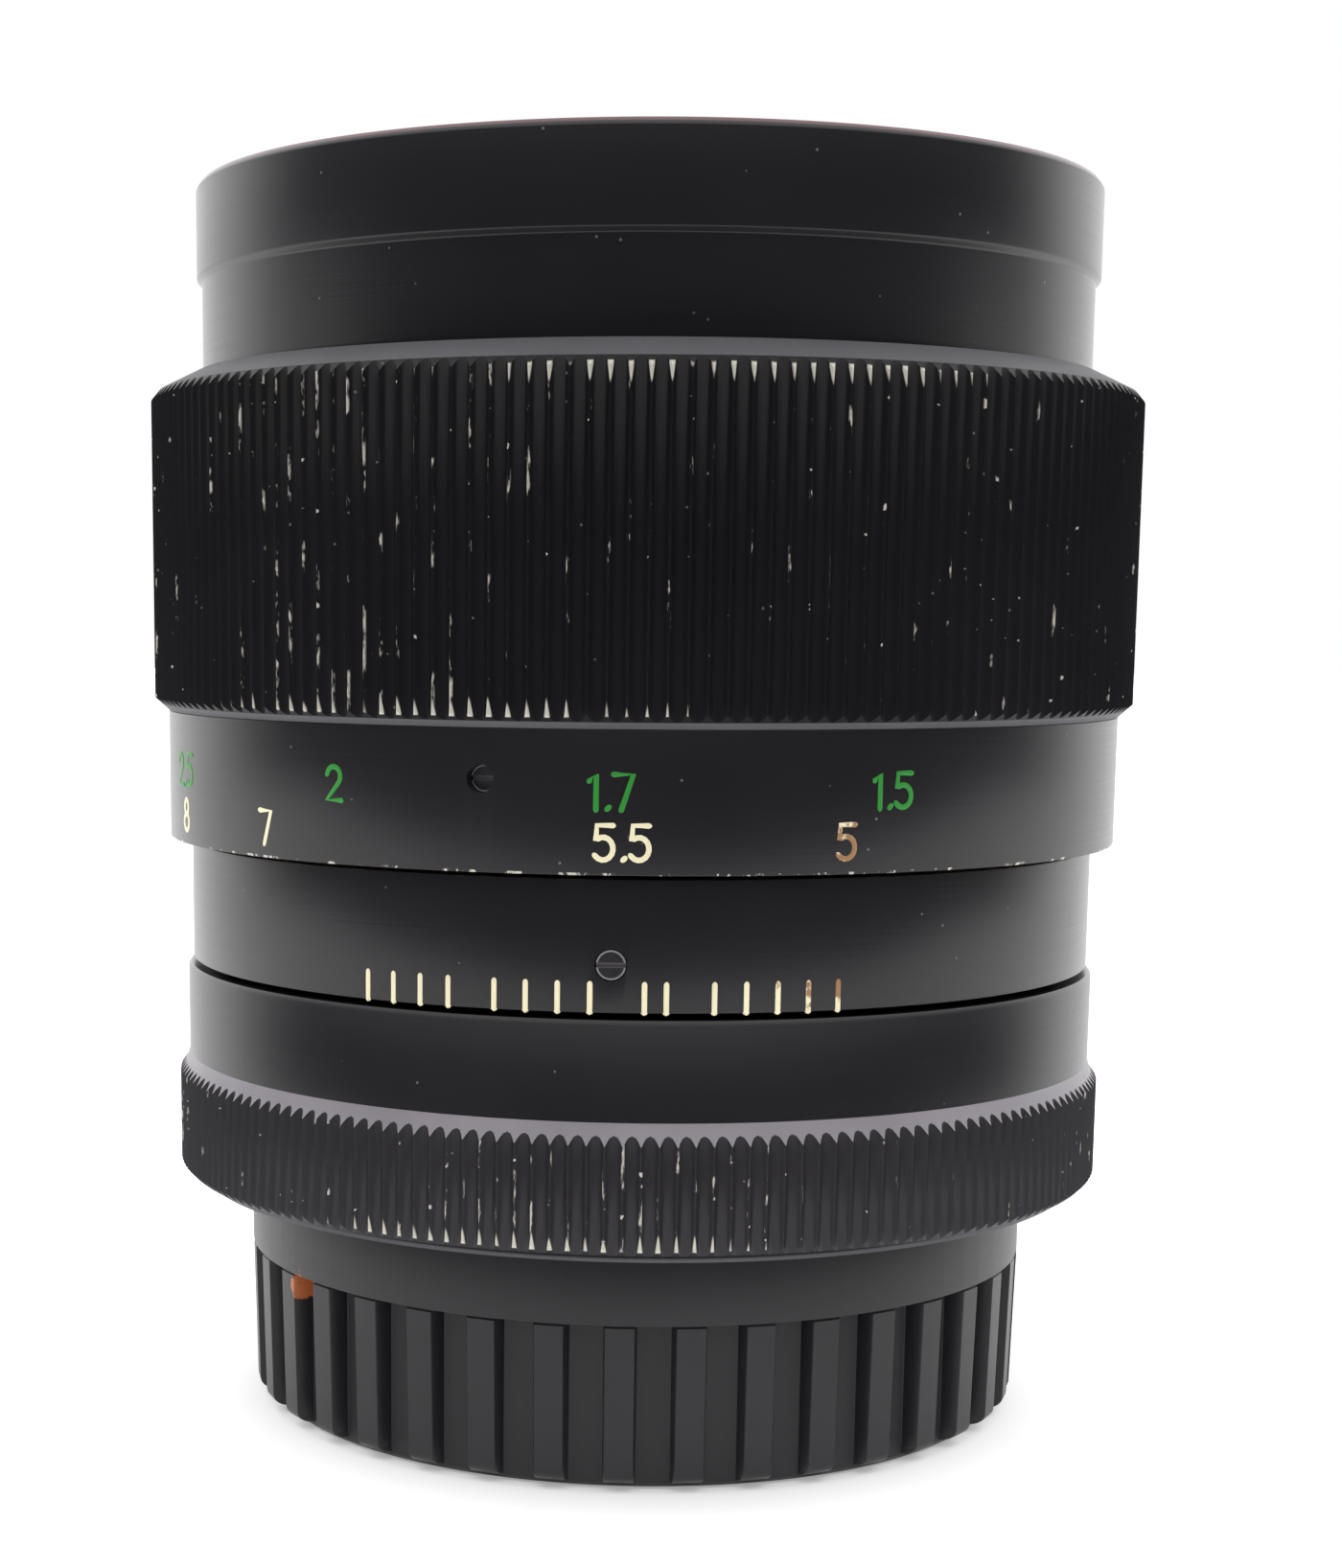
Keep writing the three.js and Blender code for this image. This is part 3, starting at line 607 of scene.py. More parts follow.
def toothed(name, teeth, tip, valley, ends, lower, upper, inner, finishes, pick):
    """A knurled ring: sharp ridges between round-bottomed grooves. ends are the heights where the
    ridges stop. The grooves run on by RUN_OUT to the far points lower and upper of the chamfers."""
    shape = [(0.0, 0.0), (0.05, 0.12), (0.14, 0.45), (0.28, 0.82), (0.5, 1.0), (0.72, 0.82),
             (0.86, 0.45), (0.95, 0.12)]
    columns = []
    for i in range(teeth):
        for along, sink in shape:
            degrees = 360 * (i + along) / teeth
            r = tip + (valley - tip) * sink
            low, high = ends[0] - RUN_OUT[0] * sink, ends[1] + RUN_OUT[1] * sink
            column = [lower, (valley - 0.01, ends[0] - RUN_OUT[0] - 0.01), (r, low), (r, (low + high) / 2),
                      (r, high), (valley - 0.01, ends[1] + RUN_OUT[1] + 0.01), upper, *inner]
            columns.append([spin(a, degrees, z) for a, z in column])
    return wrap_columns(name, columns, finishes, pick, sharp=50)


# ---- engraving -----------------------------------------------------------------------------

def arc(x, y, wide, high, start, end, steps=12):
    turns = [math.radians(start + (end - start) * i / steps) for i in range(steps + 1)]
    return [(x + wide * math.cos(t), y + high * math.sin(t)) for t in turns]


STROKES = {
    "0": [arc(0.3, 0.5, 0.27, 0.5, 0, 360, 20)],
    "1": [[(0.14, 0.82), (0.32, 1.0), (0.32, 0.0)]],
    "2": [arc(0.3, 0.72, 0.26, 0.28, 165, -40) + [(0.03, 0.0), (0.58, 0.0)]],
    "3": [arc(0.29, 0.76, 0.23, 0.24, 150, -90), arc(0.29, 0.27, 0.27, 0.27, 90, -150)],
    "4": [[(0.44, 0.0), (0.44, 1.0), (0.02, 0.3), (0.6, 0.3)]],
    "5": [[(0.54, 1.0), (0.1, 1.0), (0.07, 0.56)] + arc(0.28, 0.33, 0.29, 0.33, 125, -140)],
    "6": [[(0.45, 1.0)] + arc(0.3, 0.32, 0.27, 0.32, 150, 510, 18)],
    "7": [[(0.03, 1.0), (0.57, 1.0), (0.24, 0.0)]],
    "8": [arc(0.3, 0.76, 0.21, 0.24, -90, 270, 16), arc(0.3, 0.27, 0.27, 0.27, -90, 270, 16)],
    "9": [[(0.15, 0.0)] + arc(0.3, 0.68, 0.27, 0.32, -30, 330, 18)],
    ".": [[(0.04, 0.02), (0.06, 0.04)]],
    "~": [arc(0.25, 0.5, 0.25, 0.24, 40, 320) + arc(0.85, 0.5, 0.25, 0.24, 220, 500)],
    "|": [[(0.0, 0.0), (0.0, 1.0)]],
}
ADVANCE = {".": 0.2, "1": 0.62, "~": 1.2, "|": 0.0}
STANDARD_ADVANCE = 0.84
LETTER_GAP = 0.24         # the part of a letter's advance that is empty


def engraved(name, words, radius, key):
    """Paint-filled strokes round a cylinder. words are (text, angle, height of the middle, size)."""
    half = bpy.context.scene.lens_sizes.stroke / MM / 2
    work = bmesh.new()
    section = [(-1.0, -0.05), (-0.6, 0.022), (0.0, 0.032), (0.6, 0.022), (1.0, -0.05)]
    for text, degrees, height, size in words:
        gap = 0 if text == "|" else LETTER_GAP
        start = (gap - sum(ADVANCE.get(c, STANDARD_ADVANCE) for c in text)) * size / 2
        for letter in text:
            for stroke in STROKES[letter]:
                path = [Vector((start + x * size, height + (y - 0.5) * size)) for x, y in stroke]
                add_stroke(work, path, half, section, radius, degrees)
            start += ADVANCE.get(letter, STANDARD_ADVANCE) * size
    mesh = bpy.data.meshes.new(name)
    work.to_mesh(mesh)
    work.free()
    return finish_mesh(name, mesh, [key], 60)


def add_stroke(work, path, half, section, radius, degrees):
    """One stroke: a low rounded ridge with round ends that follows a path on the cylinder."""
    ahead = (path[1] - path[0]).normalized()
    behind = (path[-1] - path[-2]).normalized()
    stations = [(path[0] - ahead * half * c, ahead, s) for c, s in ((1, 0.02), (0.8, 0.6), (0.4, 0.92))]
    for i, here in enumerate(path):
        way = (path[min(i + 1, len(path) - 1)] - path[max(i - 1, 0)]).normalized()
        stations.append((here, way, 1.0))
    stations += [(path[-1] + behind * half * c, behind, s) for c, s in ((0.4, 0.92), (0.8, 0.6), (1, 0.02))]
    rings = []
    for here, way, wide in stations:
        side = Vector((-way.y, way.x))
        ring = []
        for across, rise in section:
            at = here + side * across * half * wide
            place = spin(radius + rise, degrees + math.degrees(at.x / radius), at.y)
            ring.append(work.verts.new(place))
        rings.append(ring)
    for first, second in zip(rings, rings[1:]):
        for i in range(len(first)):
            after = (i + 1) % len(first)
            work.faces.new((first[i], first[after], second[after], second[i]))
    work.faces.new(rings[0])
    work.faces.new(rings[-1])


def extension(metres):
    """How far the lens moves forward to focus at a distance measured from the film, in millimetres."""
    focal = 135.0
    free = metres / MM - 2 * focal
    return (free - math.sqrt(free * free - 4 * focal * focal)) / 2


def scale_angle(metres):
    """Angle of a distance mark on the resting ring: infinity is at the back, over the index."""
    turn = math.radians(joint("focus_turn")["range_deg"][1])
    travel = joint("focus_advance")["range_m"][1] / MM
    return 180 + math.degrees(turn * extension(metres) / travel)


def stop_turn(stop):
    """How far the aperture ring has turned from fully open at a given f-number, in degrees."""
    pitch_radius = math.hypot(*pivot(0)) / MM
    if stop == WIDEST:
        return 0.0
    swing = 2 * math.asin((BLADE_INNER - OPENING * WIDEST / stop) / (2 * pitch_radius))
    ring = math.radians(joint("aperture_turn")["range_deg"][1])
    return math.degrees(swing / math.radians(joint("blade_1_swing")["range_deg"][1]) * ring)


# ---- operators -----------------------------------------------------------------------------

class LENS_OT_hood(bpy.types.Operator):
    """Sliding hood with its thicker rim"""
    bl_idname = "lens.hood"
    bl_label = "Hood"

    def execute(self, context):
        low, high, rim = span("hood")
        tube, bore = rim - 0.4, rim - 1.1
        hood = turned("hood_shell", [
            (bore, low), (tube, low), (tube, high - 7.05), (rim, high - 6.7), (rim, high - 0.45),
            (rim - 0.35, high), (bore + 0.25, high), (bore, high - 0.25),
        ], "hood", soft=0.1)
        hold(hood, "hood", "black_anodised", "hood")
        return {"FINISHED"}


class LENS_OT_front(bpy.types.Operator):
    """Front barrel with its filter thread, felt strip, blank name ring and front cell"""
    bl_idname = "lens.front"
    bl_label = "Front barrel"

    def execute(self, context):
        low, high, outside = span("front_barrel")
        wall, bore, shelf, shelf_bore, thick = 32.4, 31.3, 75.0, 28.0, 1.5
        felt_seat, seat_low, seat_high = 31.95, bottom("hood_felt") - 0.2, top("hood_felt") + 0.2
        pitch = context.scene.lens_sizes.thread_pitch / MM
        mouth = high - 0.5
        thread = []
        for i in range(3):
            z = mouth - i * pitch
            thread += [(bore, z), (bore - 0.28, z - pitch * 0.5)]
        thread.append((bore, mouth - 3 * pitch))
        barrel = turned("front_barrel_shell", [
            (bore, low), (outside, low), (outside, low + thick), (wall, low + thick),
            (wall, seat_low), (felt_seat, seat_low), (felt_seat, seat_high), (wall, seat_high),
            (wall, high), (bore, high), *thread, (bore, shelf + thick), (shelf_bore, shelf + thick),
            (shelf_bore, shelf), (bore, shelf),
        ], "anodised", soft=0.06)
        hold(barrel, "optics", "black_anodised", "front_barrel")
        plain_ring("hood_felt", felt_seat + 0.1, "felt", "optics", "felt", "hood_felt_strip")
        low, high, outside = span("name_ring")
        bore, lip, sill = 25.0, outside - 0.6, low + 0.5
        grooves = []
        for i in range(8):
            r = bore + 1.2 + i * 0.5
            z = sill + (r - bore) * (high - sill) / (lip - bore)
            grooves += [(r + 0.12, z), (r, z - 0.08)]
        ring = turned("name_ring_blank", [
            (bore, low), (outside, low), (outside, high), (lip, high), *reversed(grooves), (bore, sill),
        ], "matt_black", soft=0.04)
        hold(ring, "optics", "matt_black_paint", "name_ring")
        low, high, outside = span("front_cell")
        wide, narrow, bore = 24.8, 21.3, 19.4
        shoulder, ledge = high - 10.1, low + 1.3
        cell = turned("front_cell_shell", [
            (bore, low), (outside, low), (outside, high), (wide, high), (wide, shoulder),
            (narrow, shoulder), (narrow, ledge), (bore, ledge)], "matt_black")
        hold(cell, "optics", "matt_black_paint", "front_cell")
        for name, inside in (("front_retaining_ring", 23.2), ("lens_spacer", 19.6),
                             ("middle_retaining_ring", 15.3), ("rear_retaining_ring", 13.4)):
            low, high, outside = span(name)
            outline = [(inside, low), (outside, low), (outside, high), (inside + 0.4, high)]
            made = turned(name + "_smooth", outline, "matt_black", 128)
            hold(made, "optics", "matt_black_paint", name)
        return {"FINISHED"}


class LENS_OT_glass(bpy.types.Operator):
    """The four glass elements"""
    bl_idname = "lens.glass"
    bl_label = "Glass"

    def execute(self, context):
        def face(vertex, curve, edge, steps=14):
            """A spherical face from the axis to the edge; a positive curve has its centre below."""
            points = []
            for i in range(steps + 1):
                r = edge * i / steps
                sag = abs(curve) - math.sqrt(curve * curve - r * r)
                points.append((r, vertex - math.copysign(sag, curve)))
            return points

        # height and radius of curvature of the front and the back face
        elements = ((79.5, 60, 72.5, 180), (71.6, 48, 65.6, 110), (60.5, -70, 58.0, 32),
                    (31.5, 60, 26.5, -60))
        for i, (front, front_curve, back, back_curve) in enumerate(elements):
            name = f"lens_element_{i + 1}"
            edge = reach(name)
            outline = face(back, back_curve, edge) + face(front, front_curve, edge)[::-1]
            made = disc_turned(name + "_glass", outline, "glass")
            hold(made, "optics", "coated_glass", name)
        return {"FINISHED"}


class LENS_OT_focus_ring(bpy.types.Operator):
    """Knurled focus grip, its chamfers and the scale skirt with grub screws"""
    bl_idname = "lens.focus_ring"
    bl_label = "Focus ring"

    def execute(self, context):
        sizes = context.scene.lens_sizes
        low, high, tip = span("focus_ring")
        valley = tip - tooth_depth()
        skirt, skirt_bore = tip - SKIRT_DROP, 35.0
        lip = low + 9.48
        bore, wide_bore, step = 33.7, 34.9, 57.5
        inner = [(bore, high), (bore, step), (wide_bore, step), (wide_bore, lip)]
        chamfer_rows = (0, 5, 6)
        grip = toothed("focus_grip", sizes.focus_teeth, tip, valley, grip_ends(),
                       (skirt, lip), (34.0, high), inner, ["focus_grip", "blasted"],
                       lambda row: int(row in chamfer_rows))
        hold(grip, "focus_ring", "black_anodised", "focus_ring")
        edge = lip - 0.02
        band = turned("scale_skirt", [(skirt_bore, low), (skirt, low), (skirt, edge), (skirt_bore, edge)],
                      "skirt", 256, 0.1)
        screws = [f"focus_grub_screw_{i}" for i in (1, 2, 3)]
        combine(band, screw_holes(screws, 0.95, 34, 38), "DIFFERENCE")
        hold(band, "focus_ring", "black_anodised", "focus_ring")
        for s in screws:
            slotted_screw(s, "focus_ring", 0.9, 33.3, 35.4)
        foot, rim, outside = span("moving_helicoid")
        bore, neck, shoulder = 31.3, 33.4, rim - 3.0
        helicoid = turned("moving_helicoid_smooth", [
            (bore, foot), (outside, foot), (outside, shoulder), (neck, shoulder), (neck, rim),
            (bore, rim)], "brass")
        combine(helicoid, screw_holes(screws, 1.15, 33, 36), "DIFFERENCE")
        hold(helicoid, "focus_ring", "brass", "moving_helicoid")
        plain_ring("captive_ring", 32.7, "brass", "focus_ring", "brass")
        return {"FINISHED"}


def slotted_screw(node_name, body, radius, inside, outside):
    """A slotted screw that points outwards, in place of its CAD node."""
    degrees, z = angle_of(node_name), middle(node_name)
    screw = radial_rod(node_name + "_head", radius, inside, outside - RIM_DROP, degrees, z)
    screw.data.materials.append(finish("rubbed"))
    screw.data.materials.append(finish("steel"))
    end = radial_rod("end", radius - RIM_WIDTH, inside, outside, degrees, z)
    for face in end.data.polygons:
        face.material_index = 1
    combine(screw, [end], "UNION")
    deep, half = 0.35, 0.17
    slot = block("slot", 2.6 * radius, outside - deep, outside + 1, z - half, z + half, degrees)
    combine(screw, [slot], "DIFFERENCE")
    hold(screw, body, "steel", node_name)


class LENS_OT_distance_scale(bpy.types.Operator):
    """Green metre numerals and cream feet numerals of the distance scale"""
    bl_idname = "lens.distance_scale"
    bl_label = "Distance scale"

    def execute(self, context):
        radius = reach("focus_ring") - SKIRT_DROP
        low = bottom("focus_ring")
        size = context.scene.lens_sizes.numeral_height / MM
        foot = 0.3048
        metre_row, foot_row = low + 5.45, low + 2.15
        offset = -1.0       # from a mark to the middle of its numeral, in degrees
        metres = [("1.5", 24.6), ("1.7", -5.7), ("2", -37.2), ("2.5", -68.7)]
        metres += [(text, scale_angle(float(text)) + offset) for text in ("3", "4", "5", "7", "10", "20")]
        feet = [("5.5", -4.4), ("7", -48.0), ("8", -68.3)]
        feet += [(text, scale_angle(float(text) * foot) + offset) for text in ("10", "15", "30", "60")]
        green = [(text, degrees, metre_row, size) for text, degrees in metres]
        cream = [(text, degrees, foot_row, size) for text, degrees in feet]
        cream.append(("~", 180.0, low + 3.8, size * 1.2))
        hold(engraved("metre_numerals", green, radius, "green_paint"), "focus_ring", "black_anodised")
        hold(engraved("feet_numerals", cream, radius, "cream_paint"), "focus_ring", "black_anodised")
        stained = engraved("feet_numeral_stained", [("5", 19.4, foot_row, size)], radius, "stained_paint")
        hold(stained, "focus_ring", "black_anodised")
        return {"FINISHED"}


class LENS_OT_barrel(bpy.types.Operator):
    """Fixed barrel with its helicoid sleeve, screws, index and depth-of-field marks"""
    bl_idname = "lens.barrel"
    bl_label = "Fixed barrel"

    def execute(self, context):
        low, high, radius = span("fixed_barrel")
        shelf = bottom("focus_ring") - 0.37
        bore, sleeve, sleeve_bore = 33.2, 31.0, 29.8
        web_low, web_high = low + 1.6, low + 7.4
        barrel = turned("fixed_barrel_shell", [
            (bore, low), (radius, low), (radius, shelf), (sleeve, shelf), (sleeve, high),
            (sleeve_bore, high), (sleeve_bore, web_low), (sleeve, web_low), (sleeve, web_high),
            (bore, web_high),
        ], "anodised", 256)
        screws = [f"barrel_screw_{i}" for i in (1, 2, 3)]
        keyway = block("keyway", 6, 29, 32, 47, high + 1, 180)
        combine(barrel, [*screw_holes(screws, 1.08, 32, 36), keyway], "DIFFERENCE")
        hold(barrel, "barrel", "black_anodised", "fixed_barrel")
        for s in screws:
            slotted_screw(s, "barrel", 1.0, 31.6, radius - 0.04)
        ticks = []
        for first, last, count in ((-34.6, -24.1, 4), (-18.6, -7.8, 4), (-1.8, 0.6, 2), (5.9, 20.2, 5)):
            for i in range(count):
                degrees = first + (last - first) * i / (count - 1)
                ticks.append(("|", degrees, low + 1.0, 1.78))
        marks = engraved("barrel_marks", ticks, radius, "stained_paint")
        hold(marks, "barrel", "black_anodised")
        index = [("|", 180.0, (low + shelf) / 2, shelf - low - 2.0)]
        for stop in (4, 8, 16):
            spread = 1.4 * stop
            for side in (-1, 1):
                index.append(("|", 180.0 + side * spread, shelf - 1.5, 1.8))
                index.append((str(stop), 180.0 + side * spread, low + 3.4, 1.6))
        scale = engraved("index_and_depth_scale", index, radius, "cream_paint")
        hold(scale, "barrel", "black_anodised")
        return {"FINISHED"}


class LENS_OT_aperture_ring(bpy.types.Operator):
    """Aperture ring: fine grip, smooth band and f-numbers"""
    bl_idname = "lens.aperture_ring"
    bl_label = "Aperture ring"

    def execute(self, context):
        sizes = context.scene.lens_sizes
        low, high, tip = span("aperture_ring")
        band = tip - 0.73
        bore = 32.5
        inner = [(band, high - 0.3), (band - 0.25, high), (bore, high), (bore, low)]
        slots = {1: 0, 2: 0, 3: 0, 4: 1, 5: 1}
        grip = toothed("aperture_ring_grip", sizes.aperture_teeth, tip, tip - tooth_depth() * FINE,
                       aperture_grip_ends(), (tip - 0.9, low), (band - 0.02, low + 9.0), inner,
                       ["aperture_grip", "rubbed", "anodised"], lambda row: slots.get(row, 2))
        hold(grip, "aperture_ring", "black_anodised", "aperture_ring")
        numbers = []
        for stop in (2.8, 4, 5.6, 8, 11, 16):
            numbers.append((str(stop), 180 - stop_turn(stop), high - 3.4, 1.7))
        scale = engraved("aperture_numerals", numbers, band, "cream_paint")
        hold(scale, "aperture_ring", "black_anodised")
        return {"FINISHED"}


class LENS_OT_inside(bpy.types.Operator):
    """Lens barrel with its web, and the rear cell"""
    bl_idname = "lens.inside"
    bl_label = "Inner barrels"

    def execute(self, context):
        low, high, outside = span("lens_barrel")
        bore, tube, tube_bore, tube_top = outside - 1.5, 18.8, 17.3, 63.2
        web, web_top = low + 7.0, low + 8.5
        barrel = turned("lens_barrel_smooth", [
            (bore, low), (outside, low), (outside, high), (bore, high), (bore, web_top),
            (tube, web_top), (tube, tube_top), (tube_bore, tube_top), (tube_bore, web_top),
            (OPENING, web_top), (OPENING, web), (bore, web)], "matt_black", 128)
        tools = screw_holes(["focus_key_screw"], 1.05, 27, 30)
        for i in range(8):
            x, y = pivot(i)
            tools.append(upright_rod("hole", 0.6, x, y, web - 1, web + 3))
        combine(barrel, tools, "DIFFERENCE")
        hold(barrel, "optics", "matt_black_paint", "lens_barrel")
        low, high, flange = span("rear_cell")
        tube, bore, seat_bore = 18.5, 15.3, 13.2
        cell = turned("rear_cell_smooth", [
            (tube - 2.0, low), (tube, low), (tube, high - 1.5), (flange, high - 1.5), (flange, high),
            (bore, high), (bore, low + 5.4), (seat_bore, low + 5.4), (seat_bore, low + 4.2),
        ], "matt_black", 128)
        hold(cell, "optics", "matt_black_paint", "rear_cell")
        return {"FINISHED"}


class LENS_OT_iris(bpy.types.Operator):
    """Smooth iris blades, each on its pivot"""
    bl_idname = "lens.iris"
    bl_label = "Iris"

    def execute(self, context):
        for i in range(8):
            name = f"iris_blade_{i + 1}"
            x, y = pivot(i)
            away = math.hypot(x, y) / MM
            level = 50.55 - 0.3 * i

            def at(r, degrees):         # measured from the pivot
                turn = math.radians(degrees)
                return (r * math.cos(turn) - away, r * math.sin(turn))

            inner = [at(BLADE_INNER, 12 + 118 * k / 36) for k in range(37)]
            outer = [at(BLADE_OUTER, 130 - 125 * k / 36) for k in range(37)]
            root = [(0.6, 1.1), (1.0, 0.8), (1.2, 0.0), (1.1, -5.5), (0.9, -6.1), (0.4, -6.45),
                    (-0.4, -6.45), (-0.9, -6.1), (-1.1, -5.5)]
            turn = math.atan2(y, x)
            work = bmesh.new()
            extrude(work, [(a * MM, b * MM, level * MM) for a, b in inner + outer + root], 0.15)
            place = Matrix.Translation((x, y, 0)) @ Matrix.Rotation(turn, 4, "Z")
            bmesh.ops.transform(work, matrix=place, verts=work.verts)
            mesh = bpy.data.meshes.new(name)
            work.to_mesh(mesh)
            work.free()
            blade = finish_mesh(name + "_leaf", mesh, ["steel"])
            pin = upright_rod("pin", 0.45, x, y, level + 0.05, 52)
            drive = Vector((x, y)) + Vector((math.sin(turn), -math.cos(turn))) * 5.5 * MM
            tool = upright_rod("pin", 0.45, drive.x, drive.y, 47.4, level + 0.1)
            combine(blade, [pin, tool], "UNION")
            hold(blade, name, "steel", name)
        return {"FINISHED"}


class LENS_OT_mount(bpy.types.Operator):
    """Bayonet mount and the aperture ring's retainer"""
    bl_idname = "lens.mount"
    bl_label = "Mount"

    def execute(self, context):
        low, high, rim = span("mount_ring")
        bore, neck, flange = 22.2, 23.5, low + 4.6
        mount = turned("mount_ring_smooth", [
            (bore, low), (neck, low), (neck, flange), (rim, flange), (rim, high), (bore, high)],
            "chrome", soft=0.08)
        lugs = [sector("lug", 23.3, 25.5, a, 25, low, low + 1.5) for a in (0, 120, 240)]
        combine(mount, lugs, "UNION")
        tools = []
        for i in (1, 2, 3):
            first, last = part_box(f"mount_screw_{i}")
            x, y, _ = (first + last) / 2
            tools.append(upright_rod("hole", 1.15, x, y, flange - 0.6, high + 0.9))
        combine(mount, tools, "DIFFERENCE")
        hold(mount, "barrel", "mount_chrome", "mount_ring")
        plain_ring("aperture_ring_retainer", 31.0, "steel", "barrel", "steel")
        return {"FINISHED"}


class LENS_OT_cap(bpy.types.Operator):
    """Ribbed rear cap"""
    bl_idname = "lens.cap"
    bl_label = "Rear cap"

    def execute(self, context):
        sizes = context.scene.lens_sizes
        _, rim, radius = span("rear_cap")
        flange = 12.05
        rib_foot, rib_round = 0.5, 0.9
        floor_radius = radius - sizes.rib_depth / MM
        # across one pitch: how far the rib stands out of the valley floor
        shape = [(0.0, 0.0), (0.235, 0.0), (0.255, 0.04), (0.28, 0.92), (0.295, 1.0), (0.5, 1.0),
                 (0.705, 1.0), (0.72, 0.92), (0.745, 0.04), (0.765, 0.0)]
        heights = [0.5, 0.56, 0.68, 0.86, 1.1, 1.4, 2.5, 7.0, 11.2, 11.95]
        columns = []
        pitch = 360 / sizes.cap_ribs
        for i in range(sizes.cap_ribs):
            for along, rise in shape:
                degrees = 0.475 + (i + along) * pitch
                column = [(floor_radius - 0.7, 0.0), (floor_radius - 0.2, 0.12), (floor_radius, 0.4)]
                for z in heights:
                    part = min(max((z - rib_foot) / rib_round, 0.0), 1.0)
                    full = math.sqrt(1 - (1 - part) ** 2)
                    outer = radius - 0.3 * (flange - z) / flange
                    column.append((floor_radius + (outer - floor_radius) * rise * full, z))
                lip = floor_radius + (radius - 0.12 - floor_radius) * max(rise, 0.55)
                column += [(lip, flange - 0.02), (radius - 0.02, flange + 0.08), (radius, flange + 0.25),
                           (radius, rim - 0.4), (radius - 0.15, rim - 0.08), (radius - 0.4, rim),
                           (28.6, rim), (28.6, 12.6), (26.6, 11.6), (26.6, 1.9), (8.0, 1.9),
                           (8.0, 1.7), (7.0, 1.7), (7.0, 0.25), (26.2, 0.25), (26.6, 0.0)]
                columns.append([spin(r, degrees, z) for r, z in column])
        cap = wrap_columns("rear_cap_shell", columns, ["plastic"], sharp=35)
        middle = disc_turned("cap_floor", [(0, 0.25), (7.05, 0.25), (7.05, 1.7), (0, 1.7)], "plastic")
        lugs = [sector("lug", 24.2, 28.9, a, 20, 12.9, 14.6) for a in (60, 180, 300)]
        combine(cap, [middle, *lugs], "UNION", 35)
        hold(cap, "rear_cap", "cap_plastic", "rear_cap")
        return {"FINISHED"}


class LENS_OT_finishes(bpy.types.Operator):
    """Materials of the small CAD parts that keep their own shape"""
    bl_idname = "lens.finishes"
    bl_label = "Small parts' finishes"

    def execute(self, context):
        keys = {"matt_black_paint": "matt_black", "black_anodised": "anodised", "coated_glass": "glass",
                "mount_chrome": "chrome", "cap_plastic": "plastic"}
        slots = {row["node"]: row["material_slot"] for row in frame["record"]["subparts"]}
        for name, part in frame["nodes"].items():
            part.data.materials.clear()
            part.data.materials.append(finish(keys.get(slots[name], slots[name])))
        return {"FINISHED"}


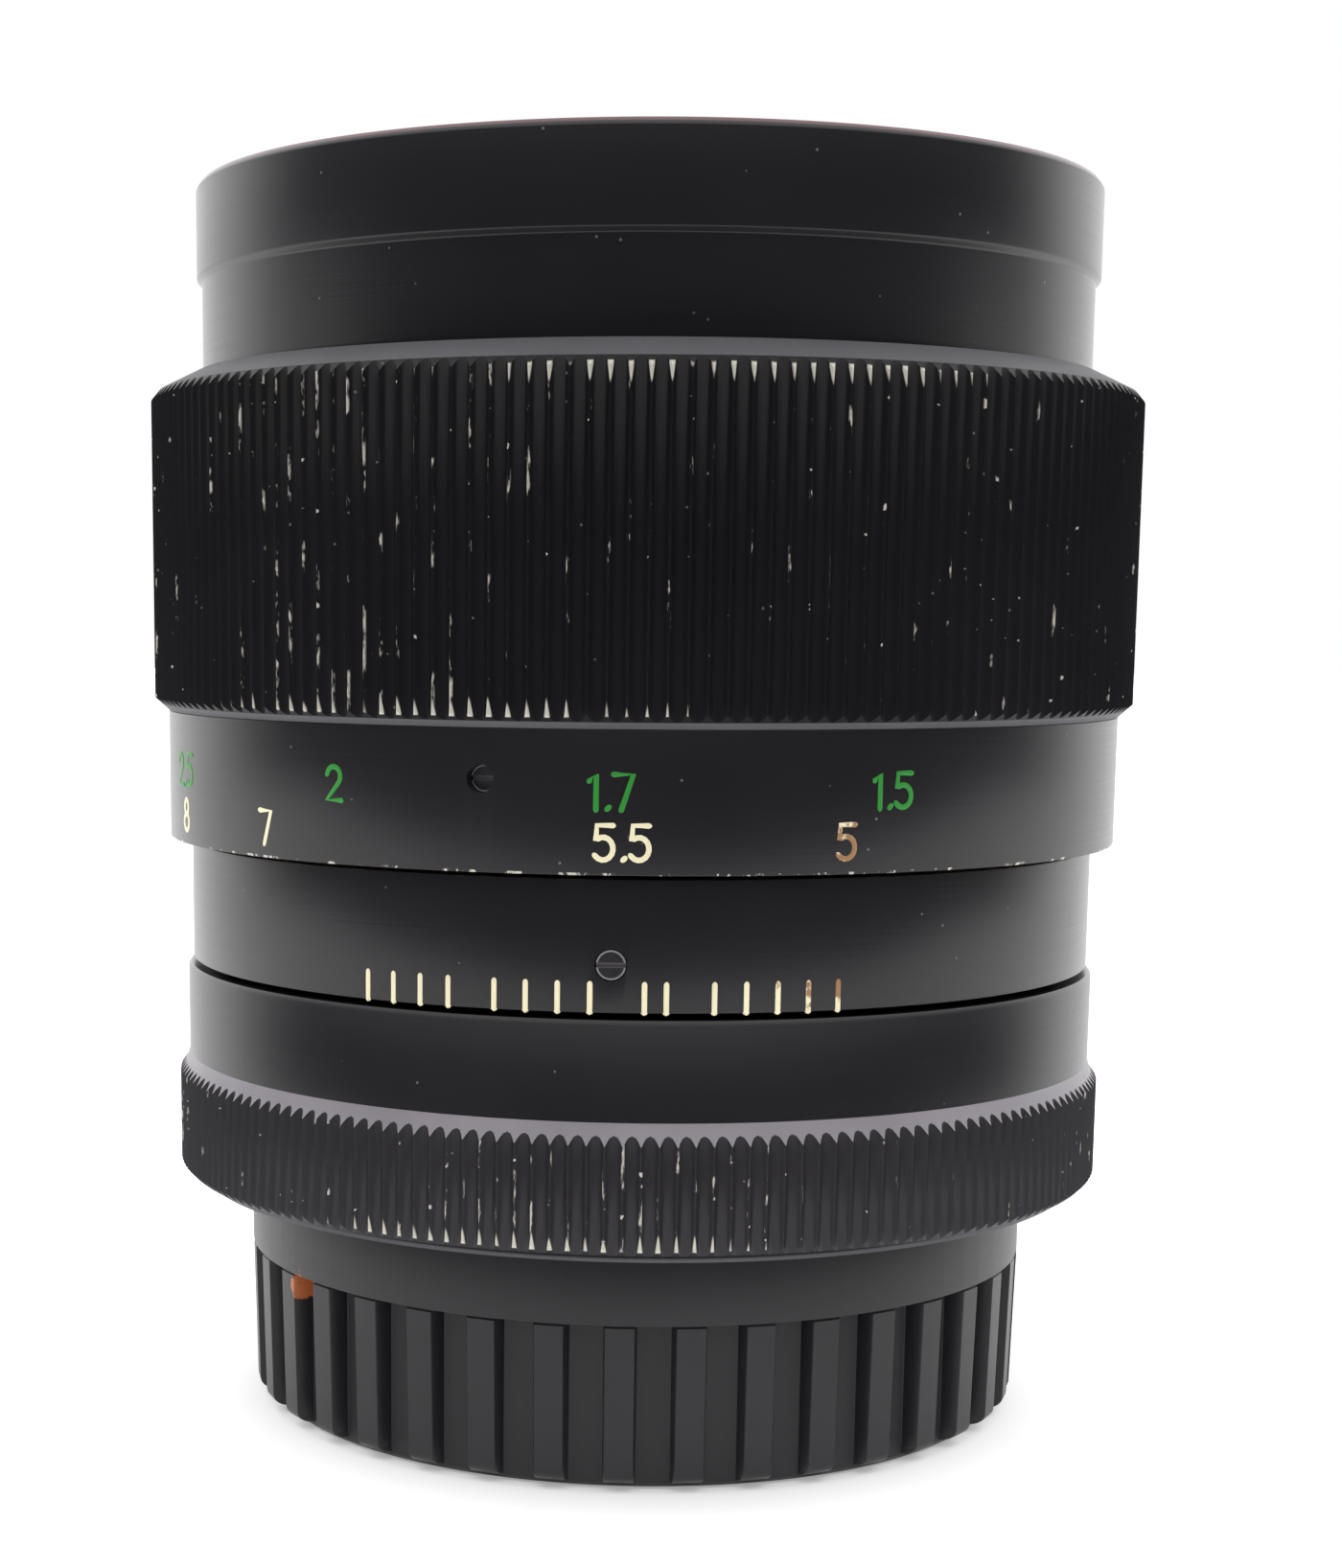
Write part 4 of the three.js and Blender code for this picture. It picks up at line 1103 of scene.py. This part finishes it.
class LENS_OT_stage(bpy.types.Operator):
    """Pale floor, soft white surroundings and the camera"""
    bl_idname = "lens.stage"
    bl_label = "Stage"

    def execute(self, context):
        low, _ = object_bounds()
        half, ahead, gap = 1.5, 0.1, 0.0001     # metres
        work = bmesh.new()
        bmesh.ops.create_grid(work, x_segments=4, y_segments=4, size=half)
        bmesh.ops.translate(work, vec=(0, half + low.y - ahead, low.z - gap), verts=work.verts)
        floor = linked("floor", work)
        floor.data.materials.append(self.paper())
        floor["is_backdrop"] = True
        self.light_world(context)
        self.place_camera(context)
        context.scene.view_settings.view_transform = "Standard"
        return {"FINISHED"}

    def paper(self):
        """White paper on a light table: even and without a shine."""
        made, tree = blank("paper_matt_white")
        fibres = mottle(tree, placed(tree), (0.8,) * 3)
        surface = add(tree, "BsdfPrincipled", {
            "Base Color": linear("#fbfbfb"), "Specular IOR Level": 0.1,
            "Roughness": add(tree, "MapRange", {0: fibres, 3: 0.85, 4: 0.95}),
            "Emission Color": linear("#ffffff"), "Emission Strength": 0.3})
        add(tree, "OutputMaterial", {"Surface": surface})
        return made

    def light_world(self, context):
        """White behind, beside and above, and dim on the side that is looked from."""
        world = bpy.data.worlds.new("studio")
        context.scene.world = world
        world.use_nodes = True
        tree = world.node_tree
        tree.nodes.clear()
        way = add(tree, "TexCoord", output="Generated")
        _, depth, height = add(tree, "SeparateXYZ", {0: way}).node.outputs
        front = add(tree, "MapRange", {0: depth, 1: 0.55, 2: 0.1})
        low = add(tree, "MapRange", {0: height, 1: 0.75, 2: 0.3})
        dim = add(tree, "Math", {0: front, 1: low}, operation="MULTIPLY")
        light = add(tree, "MapRange", {0: dim, 3: 1.8, 4: 0.14})
        looked_at = add(tree, "LightPath", output="Is Camera Ray")
        strength = add(tree, "Mix", {0: looked_at, 2: light, 3: 1.0}, data_type="FLOAT")
        glow = add(tree, "Background", {"Color": linear("#ffffff"), "Strength": strength})
        add(tree, "OutputWorld", {"Surface": glow})

    def place_camera(self, context):
        """A camera in front of the lens and above its middle, tilted down and slightly rolled."""
        tilt, roll = math.radians(8.92), 0.0061
        data = bpy.data.cameras.new("camera")
        data.sensor_width = 36
        data.lens = 61.94
        data.shift_x = 0.1037
        data.shift_y = 0.1631
        data.clip_start = 0.01
        camera = bpy.data.objects.new("camera", data)
        place = Matrix.Translation(Vector((-10.05, -210.96, 60.5)) * MM)
        pitch = Matrix.Rotation(math.radians(90) - tilt, 4, "X")
        camera.matrix_world = place @ pitch @ Matrix.Rotation(roll, 4, "Z")
        context.scene.collection.objects.link(camera)
        context.scene.camera = camera


class LENS_PT_panel(bpy.types.Panel):
    """Lists the pieces of the lens"""
    bl_idname = "LENS_PT_panel"
    bl_label = "Vintage prime lens"
    bl_space_type = "VIEW_3D"
    bl_region_type = "UI"
    bl_category = "Prime lens"

    def draw(self, context):
        for group in (context.scene.lens_sizes, context.scene.lens_colours):
            box = self.layout.box()
            for name in group.__annotations__:
                box.prop(group, name)
        for operator in OPERATORS:
            self.layout.operator(operator.bl_idname)


OPERATORS = (
    LENS_OT_stage, LENS_OT_hood, LENS_OT_front, LENS_OT_glass, LENS_OT_focus_ring,
    LENS_OT_distance_scale, LENS_OT_barrel, LENS_OT_aperture_ring, LENS_OT_inside, LENS_OT_iris,
    LENS_OT_mount, LENS_OT_cap, LENS_OT_finishes,
)
CLASSES = (LENS_PG_sizes, LENS_PG_colours, *OPERATORS, LENS_PT_panel)


def register():
    for item in CLASSES:
        bpy.utils.register_class(item)
    bpy.types.Scene.lens_sizes = PointerProperty(type=LENS_PG_sizes)
    bpy.types.Scene.lens_colours = PointerProperty(type=LENS_PG_colours)


def unregister():
    del bpy.types.Scene.lens_colours
    del bpy.types.Scene.lens_sizes
    for item in reversed(CLASSES):
        bpy.utils.unregister_class(item)


def main():
    register()
    for operator in OPERATORS:
        group, name = operator.bl_idname.split(".")
        getattr(getattr(bpy.ops, group), name)()


if __name__ == "__main__":
    main()
